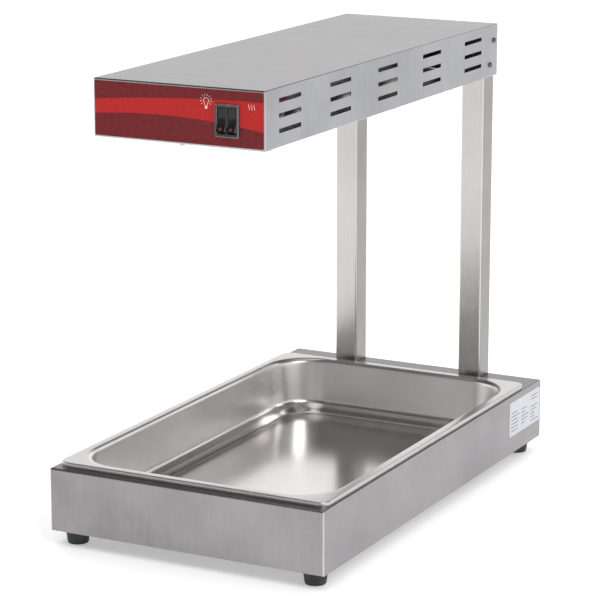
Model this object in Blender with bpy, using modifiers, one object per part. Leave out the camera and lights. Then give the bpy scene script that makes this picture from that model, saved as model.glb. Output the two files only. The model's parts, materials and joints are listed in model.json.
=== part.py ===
"""Heat lamp warmer: a countertop base that holds a food pan under an overhanging heated head.

Units are metres, +Z is up, +X is the right-hand side and the front faces -Y. The origin is on the
surface the feet stand on, under the middle of the whole object.
"""
from math import cos, pi, radians, sin

import bmesh
import bpy
from mathutils import Matrix, Vector

# ---------------------------------------------------------------- driving dimensions
GAP = 0.0003                    # clearance between pieces that touch on the real object
SHEET = 0.0010                  # stainless sheet of the covers and plates
BEND = 0.0022                   # outer radius of a folded sheet edge

BASE_WIDTH, BASE_DEPTH, BASE_HEIGHT = 0.332, 0.582, 0.070
FOOT_HEIGHT = 0.017
MIDDLE_Y = 0.0020               # middle of the base, set so that the whole object is centred on Y = 0

PAN_WIDTH, PAN_LENGTH, PAN_DEPTH = 0.325, 0.530, 0.065
PAN_SHEET = 0.0008
PAN_BACK_SHIFT = -0.0152        # the pan sits forward of the base's middle, clear of the posts
FLANGE_RISE = 0.0050            # top of the pan's flange above the base

POST_WIDTH, POST_DEPTH, POST_WALL = 0.0285, 0.0290, 0.0012
POST_SPACING = 0.1665           # between the centre lines of the posts

HEAD_WIDTH, HEAD_HEIGHT = 0.201, 0.0615
HEAD_BOTTOM = 0.4545            # underside of the head above the surface
HEAD_OVERHANG = 0.0020          # head's front ahead of the base's front

SLOT_LENGTH, SLOT_HEIGHT = 0.0495, 0.0048
SLOT_PITCH_Y, SLOT_PITCH_Z = 0.1150, 0.0156
SLOT_GROUPS, SLOT_ROWS = 5, 3

SWITCH_X, SWITCH_Z = 0.0573, 0.4829
SWITCH_WIDTH, SWITCH_HEIGHT = 0.0274, 0.0340
ROCKER_WIDTH, ROCKER_HALF_HEIGHT, ROCKER_TILT = 0.0094, 0.0123, radians(8)
ROCKER_SPACING = 0.0118

# ---------------------------------------------------------------- places worked out from them
BASE_BOTTOM = FOOT_HEIGHT
BASE_TOP = BASE_BOTTOM + BASE_HEIGHT
BASE_FRONT = MIDDLE_Y - BASE_DEPTH / 2
REAR = MIDDLE_Y + BASE_DEPTH / 2

PAN_Y = MIDDLE_Y + PAN_BACK_SHIFT
FLANGE_TOP = BASE_TOP + FLANGE_RISE
WELL_INSET = 0.009              # the base's well edge inside the pan's flange edge

POST_Y = REAR - SHEET - 0.0005 - POST_DEPTH / 2
POST_BOTTOM = BASE_BOTTOM + 0.014

HEAD_TOP = HEAD_BOTTOM + HEAD_HEIGHT
HEAD_FRONT = BASE_FRONT - HEAD_OVERHANG
POST_TOP = HEAD_TOP - SHEET - 0.014
GLAND_X, GLAND_Z = -0.030, BASE_BOTTOM + 0.030
HEAD_REAR_SCREW_Z = HEAD_BOTTOM + 0.030
LOWER_PLATE_Z = HEAD_BOTTOM + SHEET + GAP
SLOT_Y = MIDDLE_Y - 0.0098      # middle of the five groups
SLOT_Z = HEAD_BOTTOM + 0.0325   # middle row

MOUTH_HALF_X, MOUTH_HALF_Y = 0.058, 0.2235
REFLECTOR_Y = MIDDLE_Y - 0.0125
GUARD_WIRE = 0.00125
REFLECTOR_Z = LOWER_PLATE_Z + SHEET + 2 * GUARD_WIRE + 2 * GAP
REFLECTOR_TOP = REFLECTOR_Z + 0.044
LAMP_X, LAMP_Z = 0.020, REFLECTOR_Z + 0.0215
ROD_X, ROD_Z = -0.022, REFLECTOR_Z + 0.0250

SCREW_HEAD, SCREW_SHAFT = 0.0032, 0.0017
DECAL_FRONT = HEAD_FRONT - 0.0004
BEZEL_BACK = DECAL_FRONT - 0.0001
BEZEL_FRONT = BEZEL_BACK - 0.0024
ROCKER_AXIS_Y = BEZEL_FRONT + 0.0042

STEEL = ("brushed_steel", (0.62, 0.61, 0.61), 1.0, 0.34)
POLISHED = ("polished_steel", (0.72, 0.71, 0.71), 1.0, 0.22)
BRIGHT = ("bright_aluminium", (0.85, 0.85, 0.86), 1.0, 0.12)
RUBBER = ("black_rubber", (0.015, 0.015, 0.016), 0.0, 0.70)
BLACK = ("black_plastic", (0.012, 0.012, 0.013), 0.0, 0.35)
GREY = ("grey_plastic", (0.11, 0.11, 0.12), 0.0, 0.40)
RED = ("red_lens", (0.55, 0.02, 0.02), 0.0, 0.20)
MAROON = ("maroon_decal", (0.36, 0.02, 0.02), 0.0, 0.35)
PAPER = ("white_plate", (0.80, 0.82, 0.86), 0.0, 0.45)
CERAMIC = ("white_ceramic", (0.80, 0.78, 0.72), 0.0, 0.40)
HEATER = ("heater_sheath", (0.24, 0.21, 0.19), 1.0, 0.50)
GLASS = ("frosted_glass", (0.90, 0.90, 0.88), 0.0, 0.15)
ZINC = ("zinc_screw", (0.66, 0.66, 0.65), 1.0, 0.30)
RED_WIRE = ("red_insulation", (0.60, 0.03, 0.04), 0.0, 0.45)
WHITE_WIRE = ("white_insulation", (0.78, 0.77, 0.74), 0.0, 0.50)
GREY_LEAD = ("grey_silicone", (0.20, 0.19, 0.18), 0.0, 0.60)

PARTS = "heat_lamp_warmer"
CUTTERS = "cutters"


# ---------------------------------------------------------------- scene and materials
def clear_scene():
    """Remove every object, then make the two collections that the model uses."""
    for obj in list(bpy.data.objects):
        bpy.data.objects.remove(obj, do_unlink=True)
    for name in (PARTS, CUTTERS):
        collection = bpy.data.collections.get(name) or bpy.data.collections.new(name)
        if name not in bpy.context.scene.collection.children:
            bpy.context.scene.collection.children.link(collection)


def material(spec):
    """The Principled material for one (name, colour, metallic, roughness) row, made once."""
    name, colour, metallic, roughness = spec
    found = bpy.data.materials.get(name)
    if found:
        return found
    made = bpy.data.materials.new(name)
    made.use_nodes = True
    shader = made.node_tree.nodes["Principled BSDF"]
    shader.inputs["Base Color"].default_value = (*colour, 1.0)
    shader.inputs["Metallic"].default_value = metallic
    shader.inputs["Roughness"].default_value = roughness
    return made


# ---------------------------------------------------------------- modelling helpers
def link(name, mesh, location, spec=None, rotation=(0, 0, 0)):
    """Place a mesh as a part, or as a cutter when it has no material."""
    obj = bpy.data.objects.new(name, mesh)
    obj.location = location
    obj.rotation_euler = rotation
    if spec is None:
        obj.hide_render = True
        obj.display_type = "WIRE"
        bpy.data.collections[CUTTERS].objects.link(obj)
    else:
        mesh.materials.clear()
        mesh.materials.append(material(spec))
        bpy.data.collections[PARTS].objects.link(obj)
    return obj


def mesh_from(name, bm):
    """Turn a bmesh into a mesh with its faces looking outwards."""
    bmesh.ops.recalc_face_normals(bm, faces=bm.faces)
    mesh = bpy.data.meshes.new(name)
    bm.to_mesh(mesh)
    bm.free()
    return mesh


def add_box(bm, size, centre=(0, 0, 0)):
    """Add a box to a bmesh and return its vertices."""
    scale = Matrix.Diagonal((*size, 1.0))
    return bmesh.ops.create_cube(bm, size=1.0, matrix=Matrix.Translation(centre) @ scale)["verts"]


def box(name, low, high, spec=None, bevel=0.0, segments=2):
    """A box between two corners, with its edges rounded if a bevel is given."""
    low, high = Vector(low), Vector(high)
    bm = bmesh.new()
    add_box(bm, high - low)
    if bevel:
        bmesh.ops.bevel(bm, geom=bm.edges[:], offset=bevel, segments=segments, profile=0.5, affect="EDGES")
    return link(name, mesh_from(name, bm), (low + high) / 2, spec)


def box_cutter(name, boxes, bevel_along_x=0.0):
    """One cutter made of separate boxes, each given by its size and centre."""
    bm = bmesh.new()
    for size, centre in boxes:
        verts = add_box(bm, size, centre)
        if bevel_along_x:
            edges = {e for v in verts for e in v.link_edges}
            along = [e for e in edges if abs((e.verts[0].co - e.verts[1].co).x) > size[0] * 0.9]
            bmesh.ops.bevel(bm, geom=along, offset=bevel_along_x, segments=1, profile=0.5, affect="EDGES")
    return link(name, mesh_from(name, bm), (0, 0, 0))


def drill(name, holes, axis, sides=16):
    """One cutter made of separate cylinders: each hole is (centre, radius, length) along X, Y or Z."""
    turn = {"X": Matrix.Rotation(pi / 2, 4, "Y"), "Y": Matrix.Rotation(pi / 2, 4, "X"), "Z": Matrix.Identity(4)}
    bm = bmesh.new()
    for centre, radius, length in holes:
        matrix = Matrix.Translation(centre) @ turn[axis]
        bmesh.ops.create_cone(bm, cap_ends=True, segments=sides, radius1=radius, radius2=radius,
                              depth=length, matrix=matrix)
    return link(name, mesh_from(name, bm), (0, 0, 0))


def combine(obj, other, operation="DIFFERENCE"):
    """Cut or join a cutter object into a part."""
    modifier = obj.modifiers.new(operation.title(), "BOOLEAN")
    modifier.operation = operation
    modifier.solver = "EXACT"
    modifier.object = other


def look(obj, face, up):
    """Turn an open surface over if the given face doesn't look up, or down when up is False."""
    if (obj.data.polygons[face].normal.z > 0) != up:
        obj.data.flip_normals()


def thicken(obj, thickness):
    """Give an open surface its sheet thickness on the side away from its normals."""
    modifier = obj.modifiers.new("Sheet", "SOLIDIFY")
    modifier.thickness = thickness
    modifier.offset = -1.0
    modifier.use_even_offset = True


def ring(half_x, half_y, radius, steps=8):
    """Points around a rounded rectangle, anticlockwise, the same number for every size."""
    points = []
    for quarter in range(4):
        centre_x = (half_x - radius) * (1 if quarter in (0, 3) else -1)
        centre_y = (half_y - radius) * (1 if quarter in (0, 1) else -1)
        for step in range(steps + 1):
            angle = (quarter + step / steps) * pi / 2
            points.append((centre_x + radius * cos(angle), centre_y + radius * sin(angle)))
    return points


def flat(name, outlines, thickness, location, spec=None, rotation=(0, 0, 0)):
    """A flat piece: outlines in its own XY plane, the first outside and the rest holes, extruded."""
    curve = bpy.data.curves.new(name, "CURVE")
    curve.dimensions = "2D"
    curve.fill_mode = "BOTH"
    curve.extrude = thickness / 2
    for outline in outlines:
        spline = curve.splines.new("POLY")
        spline.points.add(len(outline) - 1)
        spline.use_cyclic_u = True
        for point, (x, y) in zip(spline.points, outline):
            point.co = (x, y, 0.0, 1.0)
    return link(name, mesh_from_curve(name, curve), location, spec, rotation)


def mesh_from_curve(name, curve):
    """Evaluate a curve as a closed mesh, weld its caps and remove the curve."""
    holder = bpy.data.objects.new(name + "_curve", curve)
    bpy.context.scene.collection.objects.link(holder)
    evaluated = holder.evaluated_get(bpy.context.evaluated_depsgraph_get())
    mesh = bpy.data.meshes.new_from_object(evaluated)
    bpy.data.objects.remove(holder, do_unlink=True)
    bm = bmesh.new()
    bm.from_mesh(mesh)
    bmesh.ops.remove_doubles(bm, verts=bm.verts, dist=0.00001)
    bmesh.ops.recalc_face_normals(bm, faces=bm.faces)
    bm.to_mesh(mesh)
    bm.free()
    mesh.name = name
    return mesh


def smooth_route(points, spacing):
    """Points about one spacing apart on a smooth curve (Catmull-Rom) through the given points."""
    route = [Vector(p) for p in points]
    padded = [2 * route[0] - route[1], *route, 2 * route[-1] - route[-2]]
    result = [route[0]]
    for a, b, c, d in zip(padded, padded[1:], padded[2:], padded[3:]):
        steps = max(1, round((c - b).length / spacing))
        for step in range(1, steps + 1):
            t = step / steps
            result.append(0.5 * (2 * b + (c - a) * t + (2 * a - 5 * b + 4 * c - d) * t * t
                                 + (3 * b - a - 3 * c + d) * t ** 3))
    return result


def wire_mesh(name, points, radius, cyclic=False):
    """A round wire along straight pieces between points."""
    curve = bpy.data.curves.new(name, "CURVE")
    curve.dimensions = "3D"
    curve.bevel_depth = radius
    curve.bevel_resolution = 2
    curve.use_fill_caps = True
    spline = curve.splines.new("POLY")
    spline.points.add(len(points) - 1)
    spline.use_cyclic_u = cyclic
    for point, position in zip(spline.points, points):
        point.co = (*position, 1.0)
    return mesh_from_curve(name, curve)


def turned(name, profile, location, spec=None, rotation=(0, 0, 0), steps=24, closed=False):
    """A turned piece from (radius, height) points that run down its outer side."""
    bm = bmesh.new()
    verts = [bm.verts.new((radius, 0.0, height)) for radius, height in profile]
    for first, second in zip(verts, verts[1:]):
        bm.edges.new((first, second))
    if closed:
        bm.edges.new((verts[-1], verts[0]))
    mesh = bpy.data.meshes.new(name)
    bm.to_mesh(mesh)
    bm.free()
    obj = link(name, mesh, location, spec, rotation)
    screw = obj.modifiers.new("Turn", "SCREW")
    screw.axis = "Z"
    screw.steps = steps
    screw.render_steps = steps
    screw.use_merge_vertices = True
    screw.merge_threshold = 0.00001
    return obj


def folded_cover(name, size, centre, spec, open_side):
    """A sheet box with rounded folds and one side left open: open_side is "-Z" or "+Y"."""
    bm = bmesh.new()
    add_box(bm, size)
    direction = {"-Z": Vector((0, 0, -1)), "+Y": Vector((0, 1, 0))}[open_side]
    bm.normal_update()
    gone = [f for f in bm.faces if f.normal.dot(direction) > 0.9]
    bmesh.ops.delete(bm, geom=gone, context="FACES")
    folds = [e for e in bm.edges if not e.is_boundary]
    bmesh.ops.bevel(bm, geom=folds, offset=BEND, segments=3, profile=0.5, affect="EDGES")
    cover = link(name, mesh_from(name, bm), centre, spec)
    thicken(cover, SHEET)
    return cover


def screw(name, location, rotation, length, head=SCREW_HEAD, shaft=SCREW_SHAFT, head_height=0.0018):
    """A pan-head screw whose shaft runs along its own -Z from the head's underside at its origin."""
    profile = [(0, head_height), (head * 0.55, head_height * 0.92), (head * 0.86, head_height * 0.62),
               (head, head_height * 0.2), (head, 0), (shaft, 0), (shaft, -length), (0, -length)]
    return turned(name, profile, location, ZINC, rotation, steps=12)


# ---------------------------------------------------------------- base
def foot_places():
    """Name and XY place of each foot."""
    inset = 0.021
    for end, y in (("front", BASE_FRONT + inset + 0.001), ("rear", REAR - inset - 0.001)):
        for side, x in (("left", -BASE_WIDTH / 2 + inset), ("right", BASE_WIDTH / 2 - inset)):
            yield f"{end}_{side}", x, y


def make_feet():
    """Tapered rubber feet, each held by a screw from below."""
    top, bottom, recess, hole = 0.0135, 0.0115, 0.0062, 0.0027
    profile = [(top, FOOT_HEIGHT - GAP), (top, FOOT_HEIGHT - 0.003), (bottom, 0.0008), (bottom - 0.0008, 0),
               (recess, 0), (recess, 0.008), (hole, 0.008), (hole, FOOT_HEIGHT - GAP)]
    for place, x, y in foot_places():
        turned(f"foot_{place}", profile, (x, y, 0), RUBBER, closed=True)
        screw(f"foot_screw_{place}", (x, y, 0.008 - GAP), (pi, 0, 0), 0.016, 0.0050, 0.0023, 0.0028)


def make_base_bottom():
    """Folded bottom plate with upturned edges, inside the lower edge of the base cover."""
    half_x = BASE_WIDTH / 2 - SHEET - GAP
    half_y = BASE_DEPTH / 2 - SHEET - GAP
    height = 0.012
    bm = bmesh.new()
    add_box(bm, (2 * half_x, 2 * half_y, height))
    bm.normal_update()
    bmesh.ops.delete(bm, geom=[f for f in bm.faces if f.normal.z > 0.9], context="FACES")
    folds = [e for e in bm.edges if not e.is_boundary]
    bmesh.ops.bevel(bm, geom=folds, offset=BEND, segments=2, profile=0.5, affect="EDGES")
    plate = link("base_bottom", mesh_from("base_bottom", bm), (0, MIDDLE_Y, BASE_BOTTOM + height / 2), STEEL)
    thicken(plate, SHEET)
    holes = [((x, y, BASE_BOTTOM), 0.0027, 0.01) for _, x, y in foot_places()]
    combine(plate, drill("foot_screw_holes", holes, "Z"))


def post_places():
    """Side name and X of each post."""
    return (("left", -POST_SPACING / 2), ("right", POST_SPACING / 2))


def post_screw_places():
    """Name and place of the screws through the rear of the base into the posts."""
    for side, x in post_places():
        for level, z in (("lower", BASE_BOTTOM + 0.026), ("upper", BASE_BOTTOM + 0.054)):
            yield f"{side}_{level}", x, z


def make_base_cover():
    """Base box of folded sheet, open below, with the pan's well and two post openings in its top."""
    size = (BASE_WIDTH, BASE_DEPTH, BASE_HEIGHT)
    cover = folded_cover("base_cover", size, (0, MIDDLE_Y, BASE_BOTTOM + BASE_HEIGHT / 2), STEEL, "-Z")
    well_x, well_y, corner = PAN_WIDTH / 2 - WELL_INSET, PAN_LENGTH / 2 - WELL_INSET, 0.048
    lip_depth = 0.009
    lip_z = BASE_TOP - SHEET / 2 - lip_depth / 2
    outside = ring(well_x + SHEET, well_y + SHEET, corner + SHEET, 6)
    inside = ring(well_x - SHEET, well_y - SHEET, corner - SHEET, 6)
    lip = flat("well_lip", [outside, inside], lip_depth, (0, PAN_Y, lip_z))
    combine(cover, lip, "UNION")
    well = flat("well_opening", [ring(well_x, well_y, corner, 6)], 0.03, (0, PAN_Y, BASE_TOP))
    combine(cover, well)
    clearance = 2 * GAP
    post_size = (POST_WIDTH + 2 * clearance, POST_DEPTH + 2 * clearance, 0.01)
    combine(cover, box_cutter("post_openings", [(post_size, (x, POST_Y, BASE_TOP)) for _, x in post_places()]))
    holes = [((x, REAR, z), 0.0021, 0.008) for _, x, z in post_screw_places()]
    holes.append(((GLAND_X, REAR, GLAND_Z), 0.0071, 0.008))
    combine(cover, drill("base_rear_holes", holes, "Y"))


def make_cord_gland():
    """Gland in the rear of the base, with a through bore for the mains cord."""
    bore, shaft, flange = 0.0037, 0.0068, 0.0095
    profile = [(flange, 0.0035), (flange, GAP), (shaft, GAP), (shaft, -SHEET - GAP), (flange, -SHEET - GAP),
               (flange, -0.0055), (shaft, -0.0085), (bore, -0.0085), (bore, 0.0045), (shaft, 0.0045)]
    turned("cord_gland", profile, (GLAND_X, REAR, GLAND_Z), BLACK, (-pi / 2, 0, 0), closed=True)


def make_rating_plate():
    """Rounded plate on the right side of the base, near the rear."""
    length, height, thickness = 0.0925, 0.0420, 0.0003
    y, z = REAR - 0.0045 - length / 2, BASE_TOP - 0.0070 - height / 2
    place = (BASE_WIDTH / 2 + thickness / 2 + 0.00005, y, z)
    flat("rating_plate", [ring(length / 2, height / 2, 0.003, 4)], thickness, place, PAPER, (pi / 2, 0, pi / 2))


def make_base_terminal_block():
    """Ceramic terminal block on the base's bottom plate, behind the pan."""
    floor = BASE_BOTTOM + SHEET + GAP
    low = (-0.006, REAR - 0.046, floor)
    high = (0.030, REAR - 0.028, floor + 0.016)
    block = box("base_terminal_block", low, high, CERAMIC, 0.001, 1)
    rows = (REAR - 0.042, REAR - 0.032)
    holes = [((x, y, high[2]), 0.0019, 0.014) for x in (0.001, 0.012, 0.023) for y in rows]
    combine(block, drill("base_block_holes", holes, "Z", 8))


def make_supply_lead():
    """Sleeved supply lead from the base, up inside the right post, to the head."""
    x = POST_SPACING / 2
    floor = BASE_BOTTOM + SHEET + 0.0035
    route = [(0.034, REAR - 0.036, floor + 0.007), (0.048, REAR - 0.032, floor + 0.001),
             (x - 0.014, POST_Y, floor + 0.0005), (x - 0.003, POST_Y, floor + 0.006),
             (x, POST_Y, POST_BOTTOM + 0.02), (x, POST_Y, 0.25),
             (x, POST_Y, POST_TOP - 0.012), (x - 0.003, POST_Y - 0.004, POST_TOP + 0.005),
             (x - 0.010, POST_Y - 0.020, POST_TOP + 0.0075), (x - 0.012, POST_Y - 0.036, POST_TOP - 0.002),
             (x - 0.012, POST_Y - 0.042, POST_TOP - 0.018)]
    mesh = wire_mesh("supply_lead", smooth_route(route, 0.008), 0.0024)
    link("supply_lead", mesh, (0, 0, 0), GREY_LEAD)


# ---------------------------------------------------------------- pan
# Each row of the pan's section: inset from the flange's edge, drop from its top, plan corner radius.
PAN_SECTION = ((0.0, 0.0047, 0.0130), (0.0, 0.0012, 0.0130), (0.00035, 0.00035, 0.0127),
               (0.0012, 0.0, 0.0120), (0.0090, 0.0, 0.0520), (0.0110, 0.0009, 0.0530),
               (0.0123, 0.0026, 0.0540), (0.0128, 0.0046, 0.0540), (0.0180, 0.0530, 0.0480),
               (0.0235, 0.0575, 0.0430), (0.0290, 0.0635, 0.0380), (0.0330, PAN_DEPTH, 0.0340))


def make_pan():
    """Lift-out food pan, lofted between rounded rectangles, with a flange turned down at its edge."""
    bm = bmesh.new()
    loops = []
    for inset, drop, corner in PAN_SECTION:
        points = ring(PAN_WIDTH / 2 - inset, PAN_LENGTH / 2 - inset, corner)
        loops.append([bm.verts.new((x, y, -drop)) for x, y in points])
    for outer, inner in zip(loops, loops[1:]):
        for i, vert in enumerate(outer):
            following = (i + 1) % len(outer)
            bm.faces.new((vert, outer[following], inner[following], inner[i]))
    bm.faces.new(loops[-1])
    pan = link("food_pan", mesh_from("food_pan", bm), (0, PAN_Y, FLANGE_TOP), POLISHED)
    look(pan, -1, up=True)
    thicken(pan, PAN_SHEET)


# ---------------------------------------------------------------- posts
def side_screw_places():
    """Name, height and Y of the screws through each side of the head into a post."""
    return (("lower", HEAD_BOTTOM + 0.0145, POST_Y - 0.0045), ("upper", HEAD_TOP - 0.0190, POST_Y + 0.0060))


def make_posts():
    """Two rectangular tubes from inside the base up into the head."""
    outside = ring(POST_WIDTH / 2, POST_DEPTH / 2, 0.0022, 3)
    inside = ring(POST_WIDTH / 2 - POST_WALL, POST_DEPTH / 2 - POST_WALL, 0.0012, 3)
    height = POST_TOP - POST_BOTTOM
    for side, x in post_places():
        place = (x, POST_Y, (POST_TOP + POST_BOTTOM) / 2)
        post = flat(f"post_{side}", [outside, inside], height, place, STEEL)
        outward = x + (POST_WIDTH / 2 if x > 0 else -POST_WIDTH / 2)
        holes = [((outward, y, z), 0.0021, 0.006) for _, z, y in side_screw_places()]
        combine(post, drill(f"post_side_holes_{side}", holes, "X", 12))
        back = POST_Y + POST_DEPTH / 2
        holes = [((x, back, z), 0.0021, 0.006) for name, _, z in post_screw_places() if name.startswith(side)]
        holes.append(((x, back, HEAD_REAR_SCREW_Z), 0.0021, 0.006))
        combine(post, drill(f"post_back_holes_{side}", holes, "Y", 12))


def make_post_screws():
    """Screws that hold the posts in the base, and the head on the posts."""
    for name, x, z in post_screw_places():
        screw(f"post_screw_{name}", (x, REAR + GAP, z), (-pi / 2, 0, 0), 0.007)
    for side, x in post_places():
        out = 1 if x > 0 else -1
        screw(f"head_rear_screw_{side}", (x, REAR + GAP, HEAD_REAR_SCREW_Z), (-pi / 2, 0, 0), 0.007)
        for level, z, y in side_screw_places():
            place = (out * (HEAD_WIDTH / 2 + GAP), y, z)
            screw(f"side_screw_{side}_{level}", place, (0, out * pi / 2, 0), 0.008)


# ---------------------------------------------------------------- head
def plate_screw_places():
    """Name and XY place of the screws that hold the lower plate to the cover's in-turned edges."""
    x = HEAD_WIDTH / 2 - 0.0060
    for side, sign in (("left", -1), ("right", 1)):
        for i, y in enumerate((-0.2750, -0.1198, 0.0156, 0.1700)):
            yield f"{side}_{i + 1}", sign * x, MIDDLE_Y + y
    yield "front", 0.0012, HEAD_FRONT + 0.0060


def make_head_cover():
    """Head cover: top, front and sides in one folded sheet with in-turned lower edges, open behind."""
    depth = REAR - HEAD_FRONT
    centre = (0, (REAR + HEAD_FRONT) / 2, HEAD_BOTTOM + HEAD_HEIGHT / 2)
    cover = folded_cover("head_cover", (HEAD_WIDTH, depth, HEAD_HEIGHT), centre, STEEL, "+Y")
    edge = 0.0120
    opening = ((HEAD_WIDTH - 2 * edge, depth, 0.01), (0, centre[1] + edge, HEAD_BOTTOM))
    notch = (POST_WIDTH + 4 * GAP, POST_DEPTH + 0.01, 0.01)
    notches = [(notch, (x, POST_Y + 0.005 - 2 * GAP, HEAD_BOTTOM)) for _, x in post_places()]
    combine(cover, box_cutter("head_lower_opening", [opening]))
    combine(cover, box_cutter("head_post_notches", notches))
    slots = []
    for group in range(SLOT_GROUPS):
        for row in range(SLOT_ROWS):
            y = SLOT_Y + (group - (SLOT_GROUPS - 1) / 2) * SLOT_PITCH_Y
            z = SLOT_Z + (row - (SLOT_ROWS - 1) / 2) * SLOT_PITCH_Z
            slots.append(((HEAD_WIDTH + 0.02, SLOT_LENGTH, SLOT_HEIGHT), (0, y, z)))
    combine(cover, box_cutter("vent_slots", slots, 0.0009))
    combine(cover, box_cutter("switch_opening", [((0.0252, 0.01, 0.0312), (SWITCH_X, HEAD_FRONT, SWITCH_Z))]))
    holes = [((0, y, z), 0.0021, HEAD_WIDTH + 0.02) for _, z, y in side_screw_places()]
    combine(cover, drill("head_side_holes", holes, "X", 12))
    holes = [((x, y, HEAD_BOTTOM), 0.0021, 0.006) for _, x, y in plate_screw_places()]
    combine(cover, drill("head_lower_holes", holes, "Z", 12))


def make_head_rear_panel():
    """Flat panel that closes the rear of the head, against the posts."""
    low, high = LOWER_PLATE_Z + SHEET + GAP, HEAD_TOP - SHEET - GAP
    outline = ring(HEAD_WIDTH / 2 - SHEET - GAP, (high - low) / 2, 0.0020, 3)
    place = (0, REAR - SHEET / 2, (low + high) / 2)
    panel = flat("head_rear_panel", [outline], SHEET, place, STEEL, (pi / 2, 0, 0))
    holes = [((x, REAR, HEAD_REAR_SCREW_Z), 0.0021, 0.006) for _, x in post_places()]
    combine(panel, drill("rear_panel_holes", holes, "Y", 12))


def make_head_lower_plate():
    """Plate inside the head's lower edges, with the heater's mouth and two post openings."""
    half_x = HEAD_WIDTH / 2 - SHEET - 2 * GAP
    low = (-half_x, HEAD_FRONT + SHEET + 2 * GAP, LOWER_PLATE_Z)
    high = (half_x, REAR - 2 * GAP, LOWER_PLATE_Z + SHEET)
    plate = box("head_lower_plate", low, high, STEEL)
    outline = ring(MOUTH_HALF_X, MOUTH_HALF_Y, 0.006, 3)
    combine(plate, flat("heater_mouth", [outline], 0.01, (0, REFLECTOR_Y, LOWER_PLATE_Z)))
    post_size = (POST_WIDTH + 4 * GAP, POST_DEPTH + 4 * GAP, 0.01)
    openings = [(post_size, (x, POST_Y, LOWER_PLATE_Z)) for _, x in post_places()]
    combine(plate, box_cutter("plate_post_openings", openings))
    holes = [((x, y, LOWER_PLATE_Z), 0.0021, 0.006) for _, x, y in plate_screw_places()]
    combine(plate, drill("plate_holes", holes, "Z", 12))


def make_plate_screws():
    """Screws up through the cover's in-turned edges into the lower plate."""
    for name, x, y in plate_screw_places():
        screw(f"plate_screw_{name}", (x, y, HEAD_BOTTOM - GAP), (pi, 0, 0), 0.006)


def make_front_decal():
    """Printed decal over the front face of the head, cut out around the switch."""
    face = ring(HEAD_WIDTH / 2 - 0.0020, HEAD_HEIGHT / 2 - 0.0022, 0.0015, 3)
    centre_z = HEAD_BOTTOM + HEAD_HEIGHT / 2
    hole = [(x + SWITCH_X, y + SWITCH_Z - centre_z) for x, y in ring(0.0126, 0.0156, 0.0005, 2)]
    place = (0, DECAL_FRONT + 0.00015, centre_z)
    flat("front_decal", [face, hole], 0.0003, place, MAROON, (pi / 2, 0, 0))


# ---------------------------------------------------------------- heater and lamps
def make_reflector():
    """Trough of bright sheet over the heater and lamps, with a flange around its mouth."""
    top_half_x, top_half_y, flange = 0.034, 0.209, 0.006
    height = REFLECTOR_TOP - REFLECTOR_Z
    bm = bmesh.new()
    add_box(bm, (2 * MOUTH_HALF_X, 2 * MOUTH_HALF_Y, height), (0, 0, height / 2))
    bm.normal_update()
    bmesh.ops.delete(bm, geom=[f for f in bm.faces if f.normal.z < -0.9], context="FACES")
    for vert in bm.verts:
        if vert.co.z > height / 2:
            vert.co.x *= top_half_x / MOUTH_HALF_X
            vert.co.y *= top_half_y / MOUTH_HALF_Y
    folds = [e for e in bm.edges if not e.is_boundary]
    bmesh.ops.bevel(bm, geom=folds, offset=0.006, segments=2, profile=0.5, affect="EDGES")
    rim = [e for e in bm.edges if e.is_boundary]
    moved = [v for v in bmesh.ops.extrude_edge_only(bm, edges=rim)["geom"] if isinstance(v, bmesh.types.BMVert)]
    for vert in moved:
        vert.co.x *= (MOUTH_HALF_X + flange) / MOUTH_HALF_X
        vert.co.y *= (MOUTH_HALF_Y + flange) / MOUTH_HALF_Y
    reflector = link("reflector", mesh_from("reflector", bm), (0, REFLECTOR_Y, REFLECTOR_Z), BRIGHT)
    ceiling = max(range(len(reflector.data.polygons)), key=lambda i: reflector.data.polygons[i].center.z)
    look(reflector, ceiling, up=False)
    thicken(reflector, 0.0008)
    holes = [((LAMP_X, REFLECTOR_Y, LAMP_Z), 0.0176, 0.6), ((ROD_X, REFLECTOR_Y, ROD_Z), 0.0045, 0.6)]
    combine(reflector, drill("reflector_end_holes", holes, "Y", 24))


def make_heater():
    """Sheathed heater rod through the reflector's ends, hung from two clips."""
    half, pin, sheath, stud = MOUTH_HALF_Y + 0.0040, 0.011, 0.0040, 0.0018
    profile = [(0, half + pin), (stud, half + pin), (stud, half), (sheath, half),
               (sheath, -half), (stud, -half), (stud, -half - pin), (0, -half - pin)]
    turned("heater_rod", profile, (ROD_X, REFLECTOR_Y, ROD_Z), HEATER, (pi / 2, 0, 0), steps=16)
    for end, y in (("front", REFLECTOR_Y - 0.165), ("rear", REFLECTOR_Y + 0.165)):
        low = (ROD_X - 0.005, y - 0.00075, ROD_Z - 0.0075)
        high = (ROD_X + 0.005, y + 0.00075, REFLECTOR_TOP - GAP)
        clip = box(f"heater_clip_{end}", low, high, STEEL)
        combine(clip, drill(f"clip_hole_{end}", [((ROD_X, y, ROD_Z), 0.0043, 0.01)], "Y"))


def make_lamps():
    """Two tubular lamps end to end, each in a ceramic holder through an end of the reflector."""
    collar, bore, depth, glass, neck, length = 0.0170, 0.0136, 0.034, 0.0160, 0.0128, 0.128
    holder = [(0, 0.004), (bore, 0.004), (bore, depth), (collar, depth), (collar, 0.002), (0.0145, 0), (0, 0)]
    tip = [(glass * sin(angle), length - glass + glass * cos(angle)) for angle in
           (i * pi / 12 for i in range(7))]
    lamp = [*tip, (glass, 0.048), (neck, 0.036), (neck, 0.008), (0.006, 0.0048), (0, 0.0048)]
    for end, direction in (("front", 1), ("rear", -1)):
        place = (LAMP_X, REFLECTOR_Y - direction * (MOUTH_HALF_Y + 0.001), LAMP_Z)
        turn = (-direction * pi / 2, 0, 0)
        turned(f"lamp_holder_{end}", holder, place, CERAMIC, turn)
        turned(f"lamp_{end}", lamp, place, GLASS, turn)


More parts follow.
